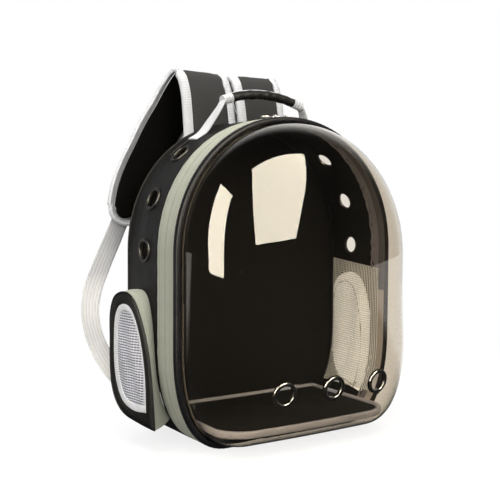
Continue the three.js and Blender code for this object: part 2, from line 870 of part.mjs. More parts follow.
function strapPad(strap) {
  const inside = strapBinding + clearance;
  const half = strapThickness / 2;
  const tip = strapHalfAt(strap, strap.length);
  const rows = strapStations(strap).map((along) => ({ along, wide: strapHalfAt(strap, along) - inside }));
  for (let i = 1; i < tipSteps / 2; i++) {
    const angle = (Math.PI * i) / tipSteps;
    rows.push({
      along: strap.length - tip + (tip - inside) * Math.sin(angle),
      wide: (tip - inside) * Math.cos(angle),
    });
  }
  const corners = [[-1, -0.8], [-0.5, -1], [0.5, -1], [1, -0.8], [1, 0.8], [0.5, 1], [-0.5, 1], [-1, 0.8]];
  return cappedLoft(rows.map((row) => corners.map(([acrossShare, proudShare]) => {
    return strapCorner(strap, row.along, acrossShare * row.wide, proudShare * half);
  })));
}

// Binding round the strap's edge: down one side, round the tip and up the other side
function strapEdge(strap) {
  const half = strapThickness / 2 - strapEdgeSink;
  const tip = strapHalfAt(strap, strap.length);
  const start = strap.length - tip;
  const sideRoute = (sign) => strapStations(strap).map((along) => {
    const wide = strapHalfAt(strap, along);
    return { along, out: sign * wide, inner: sign * (wide - strapBinding), alongInner: along };
  });
  const tipRoute = [];
  for (let i = 1; i < tipSteps; i++) {
    const angle = (Math.PI * i) / tipSteps;
    const inner = tip - strapBinding;
    tipRoute.push({
      along: start + tip * Math.sin(angle),
      out: -tip * Math.cos(angle),
      inner: -inner * Math.cos(angle),
      alongInner: start + inner * Math.sin(angle),
    });
  }
  const route = [...sideRoute(-1), ...tipRoute, ...sideRoute(1).reverse()];
  return cappedLoft(route.map((row) => [
    strapCorner(strap, row.along, row.out, half * 0.5),
    strapCorner(strap, row.alongInner, row.inner, half),
    strapCorner(strap, row.alongInner, row.inner, -half),
    strapCorner(strap, row.along, row.out, -half * 0.5),
  ]));
}

// Flat band along a route: each row gives a place, the direction across the band and its width
function bandAlong(rows, thickness) {
  const curve = new THREE.CatmullRomCurve3(rows.map((row) => row.point), false, "centripetal");
  const count = rows.length * 2;
  const sections = [];
  for (let i = 0; i <= count; i++) {
    const t = i / count;
    const centre = curve.getPoint(t);
    const tangent = curve.getTangent(t);
    const place = t * (rows.length - 1);
    const low = Math.min(rows.length - 2, Math.floor(place));
    const mix = place - low;
    const across = rows[low].across.clone().lerp(rows[low + 1].across, mix);
    across.addScaledVector(tangent, -across.dot(tangent)).normalize();
    const normal = new THREE.Vector3().crossVectors(across, tangent);
    const half = THREE.MathUtils.lerp(rows[low].width, rows[low + 1].width, mix) / 2;
    const corners = [[-1, -1], [1, -1], [1, 1], [-1, 1]];
    sections.push(corners.map(([a, n]) => {
      return centre.clone().addScaledVector(across, a * half).addScaledVector(normal, (n * thickness) / 2);
    }));
  }
  return cappedLoft(sections);
}

// Lower webbing from below the strap's tip to the bottom of the back seam
const webbingRows = [
  { spread: 0.965, depth: 0.05, up: 0, turn: 0.05 },
  { spread: 1.06, depth: 0.06, up: -0.15, turn: 0.1 },
  { spread: 1.17, depth: 0.04, up: -0.31, turn: 0.15 },
  { spread: 1.255, depth: 0, up: -0.45, turn: 0.45 },
  { spread: 1.29, depth: -0.08, up: -0.58, turn: 0.7 },
  { spread: 1.265, depth: -0.25, up: -0.73, turn: 0.75 },
  { spread: 1.19, depth: -0.55, up: -0.87, turn: 0.5 },
  { spread: 1.075, depth: -0.97, up: -1, turn: 0.1 },
];

function strapWebbing(strap, side) {
  const proud = (strapThickness + webbingThickness) / 2 + clearance;
  const start = strapPoint(strap, strap.length - webbingLap, 0, proud);
  const drop = start.z - webbingEndHeight;
  const back = start.y - (backPlane + clearance + webbingThickness);
  const rows = webbingRows.map((row) => {
    const spreadShift = (row.spread - webbingRows[0].spread) * webbingSpread;
    const point = new THREE.Vector3(
      start.x + side * spreadShift,
      start.y + row.depth * back - webbingRows[0].depth * back,
      start.z + row.up * drop,
    );
    const angle = row.turn * side;
    return { point, across: new THREE.Vector3(Math.cos(angle), Math.sin(angle), 0.2), width: webbingWidth };
  });
  rows.at(-1).point.y = backPlane + clearance + webbingThickness / 2;
  return bandAlong(rows, webbingThickness);
}

// Grip of the top handle along an arc, leaning forward of its sewn ends
function gripCurve(from, to) {
  const crown = archHeightAt(0, 0) + handleRise;
  const points = [];
  for (let i = 0; i <= gripSteps; i++) {
    const x = from + ((to - from) * i) / gripSteps;
    const share = x / (gripLength / 2);
    points.push(new THREE.Vector3(x, handleDepth - handleLean, crown - gripSag * share * share));
  }
  return new THREE.CatmullRomCurve3(points);
}

function tubeAlong(curve, radius, steps) {
  const round = new THREE.Shape();
  round.absarc(0, 0, radius, 0, Math.PI * 2, false);
  return new THREE.ExtrudeGeometry(round, {
    curveSegments: 5,
    steps,
    bevelEnabled: false,
    extrudePath: curve,
  });
}

// Middle line of a handle strap from the grip's end to its sewn end: shares of its run, height, lean and width
const handleLegRows = [
  { along: 0, lift: 1, lean: 1, spread: 0 },
  { along: 0.18, lift: 0.735, lean: 0.96, spread: 0.38 },
  { along: 0.37, lift: 0.4, lean: 0.6, spread: 1 },
  { along: 0.63, lift: 0.04, lean: 0.12, spread: 1 },
  { along: 1, lift: 0.014, lean: 0, spread: 1 },
];

function handleLeg(side) {
  const start = gripLength / 2 + wrapLength + 3 * clearance;
  const run = handleSpan / 2 - start;
  const seat = handleStrapThickness / 2 + clearance;
  const climb = gripCurve(0, start).getPoint(1).z - archHeightAt(start, 0) - seat;
  return bandAlong(handleLegRows.map((row) => {
    const x = start + row.along * run;
    return {
      point: new THREE.Vector3(
        side * x,
        handleDepth - row.lean * handleLean,
        archHeightAt(x, 0) + seat + row.lift * climb,
      ),
      across: new THREE.Vector3(0, 1, 0),
      width: THREE.MathUtils.lerp(2 * wrapRadius, handleStrapWidth, row.spread),
    };
  }), handleStrapThickness);
}

function zipSlider(x) {
  const y = coilFront + coilWidth / 2;
  const place = archHeightAt(x, 0) + clearance;
  const body = new THREE.BoxGeometry(sliderLength, sliderWidth, sliderHeight);
  const angle = Math.atan2(archHeightAt(x + 1, 0) - archHeightAt(x - 1, 0), 2);
  body.rotateY(-angle);
  body.translate(x, y, place + sliderHeight / 2);
  return body;
}

function zipPull(x) {
  const y = coilFront + coilWidth / 2;
  const ring = new THREE.TorusGeometry(pullRadius, pullWire, 6, 12);
  ring.scale(pullStretch, 1, 1);
  const reach = sliderLength / 2 + (pullRadius + pullWire) * pullStretch + clearance;
  const outward = Math.sign(x) * reach;
  const top = archHeightAt(x + (Math.sign(x) * sliderLength) / 2, 0) + pullWire + clearance;
  ring.translate(x + outward, y, top);
  return ring;
}

const pocketTools = [pocketCutter(-1), pocketCutter(1)];
const sideTools = sideEyelets.map((item) => eyeletCutter(sideEyeletHole, item.place));
addPiece("side_wall", cutAway(sideWall(), [...pocketTools, ...sideTools]), blackCloth);
addPiece("back_panel", backPanel(), padCloth);
addPiece("zip_tape_rear", bandRing(tapeInset, tapeThickness, rearTapeFront, tapeWidth), sageTape);
addPiece("zip_coil", bandRing(coilInset, coilThickness, coilFront, coilWidth), sageTape);
addPiece("zip_tape_front", bandRing(tapeInset, tapeThickness, tapeFront, tapeWidth), sageTape);
addPiece("rim_binding", rimBinding(), darkBinding);

const bubbleEyelets = [
  { name: "bubble_eyelet_left", place: bubblePlace(-bubbleEyeletSpacing, bubbleEyeletHeight) },
  { name: "bubble_eyelet_middle", place: bubblePlace(0, bubbleEyeletHeight) },
  { name: "bubble_eyelet_right", place: bubblePlace(bubbleEyeletSpacing, bubbleEyeletHeight) },
];
const bubbleTools = bubbleEyelets.map((item) => eyeletCutter(bubbleEyeletHole, item.place));
addPiece("bubble", cutAway(bubbleShell(), bubbleTools), clearSheet);
for (const item of bubbleEyelets) {
  const ring = eyelet(bubbleEyeletRadius, bubbleEyeletHole, bubbleWall, bubbleEyeletSeat);
  addPiece(item.name, placeAlong(ring, item.place), darkMetal);
}
for (const item of sideEyelets) {
  const ring = eyelet(sideEyeletRadius, sideEyeletHole, wallThickness, sideEyeletSeat);
  addPiece(item.name, placeAlong(ring, item.place), darkMetal);
}

addPiece("floor_mat_base", floorMat(), padCloth);
addPiece("floor_mat_top", matTopPad(), padCloth);
addPiece("floor_mat_edge", matBinding(), creamEdge);

for (const side of [-1, 1]) {
  const sideName = side < 0 ? "left" : "right";
  addPiece(`inner_mesh_${sideName}`, innerNet(side), lightNet);
  pocketPieces(side, sideName);
  const strap = strapFrames(side);
  addPiece(`strap_pad_${sideName}`, strapPad(strap), padCloth);
  addPiece(`strap_edge_${sideName}`, strapEdge(strap), whiteBinding);
  addPiece(`strap_webbing_${sideName}`, strapWebbing(strap, side), greyWebbing);
  addPiece(`handle_leg_${sideName}`, handleLeg(side), whiteBinding);
  const wrapFrom = side * (gripLength / 2 + 2 * clearance);
  const wrapTo = side * (gripLength / 2 + wrapLength);
  addPiece(`handle_wrap_${sideName}`, tubeAlong(gripCurve(wrapFrom, wrapTo), wrapRadius, 3), whiteBinding);
  addPiece(`zip_slider_${sideName}`, zipSlider((side * sliderSpacing) / 2), brightMetal);
  addPiece(`zip_pull_${sideName}`, zipPull((side * sliderSpacing) / 2), brightMetal);
}
addPiece("handle_grip", tubeAlong(gripCurve(-gripLength / 2, gripLength / 2), gripRadius, 10), blackCloth);

export default group;
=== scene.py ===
# Looks of a bubble pet carrier backpack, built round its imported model, in metres, +Z up, bubble towards
# -Y
import math

import bmesh
import bpy
import numpy as np
from mathutils import Matrix, Vector


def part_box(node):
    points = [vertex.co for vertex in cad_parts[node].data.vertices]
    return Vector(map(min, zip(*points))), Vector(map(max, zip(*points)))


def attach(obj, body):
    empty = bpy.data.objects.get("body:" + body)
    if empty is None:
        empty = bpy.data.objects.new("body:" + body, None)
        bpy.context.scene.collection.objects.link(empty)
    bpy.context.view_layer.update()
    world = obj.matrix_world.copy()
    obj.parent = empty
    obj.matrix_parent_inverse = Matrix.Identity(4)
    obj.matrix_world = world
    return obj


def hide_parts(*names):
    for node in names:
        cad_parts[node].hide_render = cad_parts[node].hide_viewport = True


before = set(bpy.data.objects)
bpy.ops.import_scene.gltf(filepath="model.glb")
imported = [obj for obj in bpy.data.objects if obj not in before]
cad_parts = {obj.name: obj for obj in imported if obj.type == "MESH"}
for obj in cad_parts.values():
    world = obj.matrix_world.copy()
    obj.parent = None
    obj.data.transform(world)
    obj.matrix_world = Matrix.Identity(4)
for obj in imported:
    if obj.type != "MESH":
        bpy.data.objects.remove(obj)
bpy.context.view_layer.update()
bpy.context.scene.view_settings.view_transform = "Standard"
print("frame loaded")

cameraSetup = {
    "place": (-0.6356, -0.9245, 0.3078),
    "heading": 33.52,  # degrees from +Y towards +X
    "dip": 3.25,
    "roll": 0.34,
    "focalPixels": 820,
    "imageWidth": 500,
    "sensor": 36,
}


def addCamera():
    heading, dip, roll = (math.radians(cameraSetup[key]) for key in ("heading", "dip", "roll"))
    ahead = Vector((math.sin(heading) * math.cos(dip), math.cos(heading) * math.cos(dip), -math.sin(dip)))
    level = Vector((math.cos(heading), -math.sin(heading), 0))
    upright = level.cross(ahead)
    right = level * math.cos(roll) + upright * math.sin(roll)
    up = upright * math.cos(roll) - level * math.sin(roll)
    data = bpy.data.cameras.new("camera")
    data.sensor_width = cameraSetup["sensor"]
    data.lens = cameraSetup["focalPixels"] / cameraSetup["imageWidth"] * cameraSetup["sensor"]
    camera = bpy.data.objects.new("camera", data)
    turned = Matrix((right, up, -ahead)).transposed().to_4x4()
    camera.matrix_world = Matrix.Translation(cameraSetup["place"]) @ turned
    bpy.context.scene.collection.objects.link(camera)
    bpy.context.scene.camera = camera


addCamera()
print("camera placed")

# Node of a kind, with its options set and its inputs linked or given
def place(tree, kind, options=None, inputs=None):
    node = tree.nodes.new(kind)
    for key, value in (options or {}).items():
        setattr(node, key, value)
    for key, value in (inputs or {}).items():
        if isinstance(value, bpy.types.NodeSocket):
            tree.links.new(value, node.inputs[key])
        else:
            node.inputs[key].default_value = value
    return node


def calc(tree, operation, *values):
    return place(tree, "ShaderNodeMath", {"operation": operation}, dict(enumerate(values))).outputs[0]


def blendColours(tree, share, first, second):
    first, second = (colour + (1,) if isinstance(colour, tuple) else colour for colour in (first, second))
    return place(tree, "ShaderNodeMix", {"data_type": "RGBA"}, {0: share, 6: first, 7: second}).outputs[2]


# Value taken from one range to another, easing in and out where smooth is set
def toRange(tree, value, low, high, first=0.0, last=1.0, smooth=False):
    kind = "SMOOTHSTEP" if smooth else "LINEAR"
    inputs = {0: value, 1: low, 2: high, 3: first, 4: last}
    return place(tree, "ShaderNodeMapRange", {"interpolation_type": kind}, inputs).outputs[0]


# Round bars one apart: the absolute sine of pi times the value
def barsOf(tree, value):
    return calc(tree, "ABSOLUTE", calc(tree, "SINE", calc(tree, "MULTIPLY", value, math.pi)))


def addBump(tree, shader, height):
    bump = place(tree, "ShaderNodeBump", None, {"Height": height, "Distance": 1.0, "Strength": 1.0})
    tree.links.new(bump.outputs[0], shader.inputs["Normal"])


def showSurface(tree, node):
    output = next(other for other in tree.nodes if other.type == "OUTPUT_MATERIAL")
    tree.links.new(node.outputs[0], output.inputs["Surface"])


def newGroup(name, inputs, outputs):
    tree = bpy.data.node_groups.new(name, "ShaderNodeTree")
    for label, kind, value in inputs:
        socket = tree.interface.new_socket(label, in_out="INPUT", socket_type=kind)
        if value is not None:
            socket.default_value = value
    for label in outputs:
        tree.interface.new_socket(label, in_out="OUTPUT", socket_type="NodeSocketFloat")
    return tree, tree.nodes.new("NodeGroupInput").outputs, tree.nodes.new("NodeGroupOutput").inputs


# Plain weave: threads round off across their width, and every other cell shows the other set
def weaveGroup():
    given = [("Vector", "NodeSocketVector", None), ("Threads", "NodeSocketFloat", 900.0)]
    tree, given, out = newGroup("weave", given, ["Height", "Gap"])
    scaled = place(tree, "ShaderNodeVectorMath", {"operation": "SCALE"},
                   {0: given["Vector"], "Scale": given["Threads"]})
    split = place(tree, "ShaderNodeSeparateXYZ", None, {0: scaled.outputs[0]}).outputs
    across, along = barsOf(tree, split[0]), barsOf(tree, split[1])
    cells = calc(tree, "ADD", calc(tree, "FLOOR", split[0]), calc(tree, "FLOOR", split[1]))
    turn = calc(tree, "ABSOLUTE", calc(tree, "MODULO", cells, 2.0))
    mixed = place(tree, "ShaderNodeMix", {"data_type": "FLOAT"},
                  {0: turn, 2: across, 3: along}).outputs[0]
    between = calc(tree, "SUBTRACT", 1.0, calc(tree, "MULTIPLY", across, along))
    tree.links.new(mixed, out["Height"])
    tree.links.new(calc(tree, "POWER", between, 4.0), out["Gap"])
    return tree


# Straight ribs across the first axis of the vector: rounded crests with narrow valleys
def ribGroup():
    given = [("Vector", "NodeSocketVector", None), ("Ribs", "NodeSocketFloat", 400.0),
             ("Turn", "NodeSocketFloat", 0.0)]
    tree, given, out = newGroup("ribs", given, ["Height", "Valley"])
    turned = place(tree, "ShaderNodeVectorRotate", {"rotation_type": "Z_AXIS"},
                   {0: given["Vector"], "Angle": given["Turn"]})
    split = place(tree, "ShaderNodeSeparateXYZ", None, {0: turned.outputs[0]}).outputs
    crest = barsOf(tree, calc(tree, "MULTIPLY", split[0], given["Ribs"]))
    tree.links.new(crest, out["Height"])
    tree.links.new(calc(tree, "POWER", calc(tree, "SUBTRACT", 1.0, crest), 3.0), out["Valley"])
    return tree


# Row of stitches along the first axis, at a place on the second
def stitchGroup():
    given = [("Vector", "NodeSocketVector", None), ("Place", "NodeSocketFloat", 0.0),
             ("Pitch", "NodeSocketFloat", 0.0036), ("Width", "NodeSocketFloat", 0.0008)]
    tree, given, out = newGroup("stitches", given, ["Thread", "Dip"])
    split = place(tree, "ShaderNodeSeparateXYZ", None, {0: given["Vector"]}).outputs
    away = calc(tree, "ABSOLUTE", calc(tree, "SUBTRACT", split[1], given["Place"]))
    away = calc(tree, "DIVIDE", away, given["Width"])
    near = calc(tree, "MAXIMUM", 0.0, calc(tree, "SUBTRACT", 1.0, away))
    step = calc(tree, "FRACT", calc(tree, "DIVIDE", split[0], given["Pitch"]))
    dash = calc(tree, "LESS_THAN", calc(tree, "ABSOLUTE", calc(tree, "SUBTRACT", step, 0.5)), 0.33)
    wide = calc(tree, "MAXIMUM", 0.0, calc(tree, "SUBTRACT", 1.0, calc(tree, "MULTIPLY", away, 0.4)))
    tree.links.new(calc(tree, "MULTIPLY", near, dash), out["Thread"])
    tree.links.new(wide, out["Dip"])
    return tree


# Slow unevenness of cloth: two sizes of noise, for its tone and its small creases
def unevenGroup():
    given = [("Vector", "NodeSocketVector", None), ("Size", "NodeSocketFloat", 14.0)]
    tree, given, out = newGroup("uneven", given, ["Tone", "Crease"])
    slow = place(tree, "ShaderNodeTexNoise", None,
                 {"Vector": given["Vector"], "Scale": given["Size"], "Detail": 3.0}).outputs[0]
    quickSize = calc(tree, "MULTIPLY", given["Size"], 3.1)
    quick = place(tree, "ShaderNodeTexNoise", None,
                  {"Vector": given["Vector"], "Scale": quickSize, "Detail": 2.0,
                   "Distortion": 0.6}).outputs[0]
    ridge = calc(tree, "MULTIPLY", calc(tree, "SUBTRACT", quick, 0.5), 2.0)
    ridge = calc(tree, "MULTIPLY", calc(tree, "POWER", ridge, 2.0), -0.6)
    tree.links.new(slow, out["Tone"])
    tree.links.new(calc(tree, "ADD", slow, ridge), out["Crease"])
    return tree


weaveNodes, ribNodes, stitchNodes, unevenNodes = weaveGroup(), ribGroup(), stitchGroup(), unevenGroup()


def useGroup(tree, group, inputs):
    return place(tree, "ShaderNodeGroup", {"node_tree": group}, inputs).outputs


def newMaterial(name):
    material = bpy.data.materials.new(name)
    material.use_nodes = True
    tree = material.node_tree
    return material, tree, tree.nodes["Principled BSDF"]


def coordinates(tree):
    return place(tree, "ShaderNodeTexCoord").outputs


# Cloth from a look: weave or ribs in its UV, creases in object space, rows of stitches at given places
def clothMaterial(name, look):
    material, tree, shader = newMaterial(name)
    where = coordinates(tree)
    uneven = useGroup(tree, unevenNodes,
                      {"Vector": where["Object"], "Size": look.get("creaseSize", 14.0)})
    colour = blendColours(tree, uneven["Tone"], look["dark"], look["light"])
    if "ribs" in look:
        given = {"Vector": where["UV"], "Ribs": look["ribs"], "Turn": look.get("turn", 0.0)}
        fine = useGroup(tree, ribNodes, given)
        gap = fine["Valley"]
    else:
        fine = useGroup(tree, weaveNodes, {"Vector": where["UV"], "Threads": look["threads"]})
        gap = fine["Gap"]
    # Painted shade: the gap colour darkens the cloth between its threads and in the valleys of its ribs,
    # weighted by gapShade
    colour = blendColours(tree, calc(tree, "MULTIPLY", gap, look.get("gapShade", 0.5)), colour,
                          look["gap"])
    height = calc(tree, "ADD", calc(tree, "MULTIPLY", fine["Height"], look["relief"]),
                  calc(tree, "MULTIPLY", uneven["Crease"], look.get("crease", 0.0)))
    for at in look.get("stitchRows", ()):
        seam = useGroup(tree, stitchNodes, {"Vector": where["UV"], "Place": at})
        colour = blendColours(tree, seam["Thread"], colour, look["stitchColour"])
        height = calc(tree, "SUBTRACT", height, calc(tree, "MULTIPLY", seam["Dip"], 0.0003))
        height = calc(tree, "ADD", height, calc(tree, "MULTIPLY", seam["Thread"], 0.0003))
    spread = calc(tree, "MULTIPLY_ADD", uneven["Tone"], look.get("roughSpread", 0.1), look["rough"])
    addBump(tree, shader, height)
    tree.links.new(colour, shader.inputs["Base Color"])
    tree.links.new(spread, shader.inputs["Roughness"])
    shader.inputs["Specular IOR Level"].default_value = look.get("specular", 0.4)
    shader.inputs["Sheen Weight"].default_value = look.get("sheen", 0.0)
    shader.inputs["Sheen Roughness"].default_value = 0.4
    return material


# Metal: uneven in its roughness, with fine scratches in its bump
def metalMaterial(name, look):
    material, tree, shader = newMaterial(name)
    uneven = useGroup(tree, unevenNodes, {"Vector": coordinates(tree)["Object"], "Size": 160.0})
    colour = blendColours(tree, uneven["Tone"], look["dark"], look["light"])
    addBump(tree, shader, calc(tree, "MULTIPLY", uneven["Crease"], 0.00004))
    tree.links.new(colour, shader.inputs["Base Color"])
    tree.links.new(calc(tree, "MULTIPLY_ADD", uneven["Tone"], 0.12, look["rough"]),
                   shader.inputs["Roughness"])
    shader.inputs["Metallic"].default_value = 1.0
    return material


# Open net: ribs and links that round off, clear between them; its glow, where a look sets one, is painted
# light that stands in for light coming from behind
def netMaterial(name, look):
    material, tree, shader = newMaterial(name)
    where = coordinates(tree)
    scaled = place(tree, "ShaderNodeMapping", None,
                   {"Vector": where["UV"], "Scale": (look["across"], look["along"], 1)})
    split = place(tree, "ShaderNodeSeparateXYZ", None, {0: scaled.outputs[0]}).outputs
    ribs = calc(tree, "POWER", barsOf(tree, split[1]), look["ribPower"])
    links = calc(tree, "POWER", barsOf(tree, split[0]), look["linkPower"])
    solid = calc(tree, "MAXIMUM", ribs, calc(tree, "MULTIPLY", links, look["linkShare"]))
    solid = toRange(tree, solid, look.get("low", 0.0), look.get("high", 1.0))
    uneven = useGroup(tree, unevenNodes, {"Vector": where["Object"], "Size": look["creaseSize"]})
    colour = blendColours(tree, uneven["Tone"], look["dark"], look["light"])
    # Painted shade: the gap colour darkens the net between its ribs and links
    colour = blendColours(tree, calc(tree, "SUBTRACT", 1.0, solid), colour, look["gap"])
    height = calc(tree, "ADD", calc(tree, "MULTIPLY", solid, look["relief"]),
                  calc(tree, "MULTIPLY", uneven["Crease"], look["crease"]))
    addBump(tree, shader, height)
    tree.links.new(colour, shader.inputs["Base Color"])
    tree.links.new(toRange(tree, solid, 0.0, 1.0, look["coverLow"], look["coverHigh"]),
                   shader.inputs["Alpha"])
    tree.links.new(calc(tree, "MULTIPLY_ADD", uneven["Tone"], 0.15, look["rough"]),
                   shader.inputs["Roughness"])
    shader.inputs["Sheen Weight"].default_value = look["sheen"]
    # Painted light: the net glows in its own colour, as if lit from behind, though it is no lamp
    if "paintedGlow" in look:
        tree.links.new(colour, shader.inputs["Emission Color"])
        shader.inputs["Emission Strength"].default_value = look["paintedGlow"]
    return material


# Clear tinted sheet: glass for sight, a plain tint for the rays of lamps, faint waviness in its gloss
def sheetMaterial(name, look):
    material, tree, shader = newMaterial(name)
    waves = place(tree, "ShaderNodeTexNoise", None,
                  {"Vector": coordinates(tree)["Object"], "Scale": 9.0, "Detail": 1.0})
    addBump(tree, shader, calc(tree, "MULTIPLY", waves.outputs[0], 0.0006))
    shader.inputs["Base Color"].default_value = look["tint"] + (1,)
    shader.inputs["Transmission Weight"].default_value = 1.0
    shader.inputs["Roughness"].default_value = look["rough"]
    shader.inputs["IOR"].default_value = look["ior"]
    through = place(tree, "ShaderNodeBsdfTransparent", None, {"Color": look["shadowTint"] + (1,)})
    shadow = place(tree, "ShaderNodeLightPath").outputs["Is Shadow Ray"]
    showSurface(tree, place(tree, "ShaderNodeMixShader", None,
                            {0: shadow, 1: shader.outputs[0], 2: through.outputs[0]}))
    return material


# Sizes in looks: threads, ribs, across and along are per metre, relief and crease are metres high
seamLook = {"ribs": 500.0, "relief": 0.0002, "crease": 0.0008, "creaseSize": 40.0, "specular": 0.1}
# In these looks, gap is painted shade put between threads and in the valleys of ribs
clothLooks = {
    "blackCloth": {
        "light": (0.0070, 0.0070, 0.0074), "dark": (0.0036, 0.0036, 0.0040),
        "gap": (0.0015, 0.0015, 0.0015),
        "threads": 900.0, "relief": 0.00010, "crease": 0.0020, "creaseSize": 9.0, "rough": 0.36,
        "specular": 0.11},
    "lining": {
        "light": (0.0060, 0.0056, 0.0052), "dark": (0.0035, 0.0033, 0.0031),
        "gap": (0.0015, 0.0015, 0.0015),
        "threads": 800.0, "relief": 0.0001, "crease": 0.0008, "creaseSize": 8.0, "rough": 0.8,
        "specular": 0.06},
    "padCloth": {
        "light": (0.042, 0.042, 0.043), "dark": (0.030, 0.030, 0.031), "gap": (0.008, 0.008, 0.008),
        "threads": 700.0, "relief": 0.00015, "crease": 0.0012, "rough": 0.8, "specular": 0.08},
    "airMesh": {
        "light": (0.0022, 0.0022, 0.0022), "dark": (0.0010, 0.0010, 0.0010),
        "gap": (0.0003, 0.0003, 0.0003),
        "threads": 420.0, "relief": 0.0004, "crease": 0.001, "rough": 0.95, "specular": 0.02},
    "sageTape": {
        "light": (0.285, 0.295, 0.240), "dark": (0.235, 0.245, 0.198), "gap": (0.14, 0.145, 0.115),
        "gapShade": 0.45, "ribs": 620.0, "turn": 0.9, "relief": 0.00012, "crease": 0.0012,
        "creaseSize": 22.0,
        "rough": 0.78, "sheen": 0.1, "stitchRows": (0.0034, 0.0078), "stitchColour": (0.075, 0.08, 0.06)},
    "coil": {
        "light": (0.16, 0.165, 0.13), "dark": (0.11, 0.115, 0.09), "gap": (0.03, 0.03, 0.025),
        "ribs": 500.0, "relief": 0.0003, "rough": 0.5},
    "darkBinding": {
        "light": (0.010, 0.010, 0.012), "dark": (0.005, 0.005, 0.006), "gap": (0.002, 0.002, 0.0025),
        "ribs": 450.0, "turn": 0.7, "relief": 0.00012, "crease": 0.0010, "creaseSize": 30.0,
        "rough": 0.28,
        "specular": 0.10, "roughSpread": 0.08},
    "whiteBinding": {
        "light": (0.76, 0.76, 0.76), "dark": (0.58, 0.58, 0.585), "gap": (0.22, 0.22, 0.23),
        "gapShade": 0.8,
        "ribs": 420.0, "relief": 0.0005, "crease": 0.0012, "creaseSize": 90.0, "rough": 0.6,
        "specular": 0.2},
    "greyWebbing": {
        "light": (0.50, 0.50, 0.51), "dark": (0.38, 0.38, 0.39), "gap": (0.24, 0.24, 0.25),
        "gapShade": 0.8,
        "ribs": 240.0, "turn": math.pi / 2, "relief": 0.0002, "crease": 0.001, "creaseSize": 30.0,
        "rough": 0.55, "sheen": 0.2},
    "creamEdge": {
        "light": (0.23, 0.225, 0.26), "dark": (0.17, 0.165, 0.19), "gap": (0.12, 0.115, 0.135),
        "gapShade": 0.4, "ribs": 500.0, "relief": 0.0002, "crease": 0.001, "creaseSize": 40.0,
        "rough": 0.7},
    # The rim band and the next look are shaded and lit copies of one cloth: painted shade above the top of
    # the side pockets, painted light below it
    "rimBand": {
        "light": (0.060, 0.058, 0.060), "dark": (0.040, 0.038, 0.040), "gap": (0.03, 0.028, 0.026),
        "rough": 0.6, **seamLook},
    "rimPatch": {
        "light": (0.32, 0.29, 0.27), "dark": (0.25, 0.225, 0.21), "gap": (0.12, 0.11, 0.10),
        "rough": 0.7, **seamLook},
    "seamBand": {
        "light": (0.150, 0.138, 0.150), "dark": (0.105, 0.095, 0.104), "gap": (0.05, 0.045, 0.04),
        "rough": 0.7, **seamLook},
}
metalLooks = {
    "darkMetal": {"light": (0.24, 0.235, 0.225), "dark": (0.14, 0.137, 0.13), "rough": 0.16},
    "blackMetal": {"light": (0.05, 0.05, 0.05), "dark": (0.028, 0.028, 0.028), "rough": 0.34},
    "brightMetal": {"light": (0.42, 0.42, 0.43), "dark": (0.26, 0.26, 0.27), "rough": 0.24},
}
netLooks = {
    "innerNet": {
        "across": 300.0, "along": 290.0, "ribPower": 2.0, "linkPower": 3.0, "linkShare": 0.7,
        "coverLow": 0.05, "coverHigh": 0.85, "light": (0.74, 0.74, 0.72), "dark": (0.60, 0.60, 0.58),
        "gap": (0.36, 0.36, 0.34), "relief": 0.0003, "crease": 0.002, "creaseSize": 18.0, "rough": 0.6,
        "sheen": 0.1},
    # Its near-black gap colour, almost opaque, is painted shade: the dark inside of the pocket seen between
    # the ribs
    "pocketNet": {
        "across": 230.0, "along": 300.0, "ribPower": 1.6, "linkPower": 14.0, "linkShare": 0.9,
        "coverLow": 0.92, "coverHigh": 1.0, "light": (0.78, 0.77, 0.82), "dark": (0.40, 0.40, 0.43),
        "gap": (0.03, 0.028, 0.035), "low": 0.34, "high": 0.66, "relief": 0.0005, "crease": 0.003,
        "creaseSize": 26.0, "rough": 0.4, "sheen": 0.05},
    # Its glow is painted light, standing in for the light that comes in through the side pocket's net
    "pocketLining": {
        "across": 420.0, "along": 420.0, "ribPower": 2.0, "linkPower": 2.0, "linkShare": 1.0,
        "coverLow": 1.0, "coverHigh": 1.0, "light": (0.95, 0.95, 0.93), "dark": (0.42, 0.42, 0.41),
        "gap": (0.40, 0.40, 0.39), "high": 0.8, "relief": 0.0002, "crease": 0.004, "creaseSize": 26.0,
        "rough": 0.7, "sheen": 0.05, "paintedGlow": 0.75},
}
sheetLooks = {"clearSheet": {"tint": (0.82, 0.762, 0.672), "shadowTint": (0.97, 0.96, 0.94),
                             "rough": 0.015, "ior": 1.42}}
looks = {}
for make, table in ((clothMaterial, clothLooks), (metalMaterial, metalLooks), (netMaterial, netLooks),
                    (sheetMaterial, sheetLooks)):
    looks.update({name: make(name, look) for name, look in table.items()})
print("materials made")


# Distance covered at each point of a path, with the way back to the start where it is closed
def reachAlong(grid, axis, closed):
    steps = np.roll(grid, -1, axis) - grid if closed else np.diff(grid, axis=axis)
    lengths = np.linalg.norm(steps, axis=2).mean(1 - axis)
    return np.concatenate([[0.0], np.cumsum(lengths)])


def quadCorners(rows, columns, closeRows, closeColumns):
    r = np.arange(rows if closeRows else rows - 1)
    c = np.arange(columns if closeColumns else columns - 1)
    r, c = (x.ravel() for x in np.meshgrid(r, c, indexing="ij"))
    return np.stack([r, r + 1, r + 1, r], 1), np.stack([c, c, c + 1, c + 1], 1)


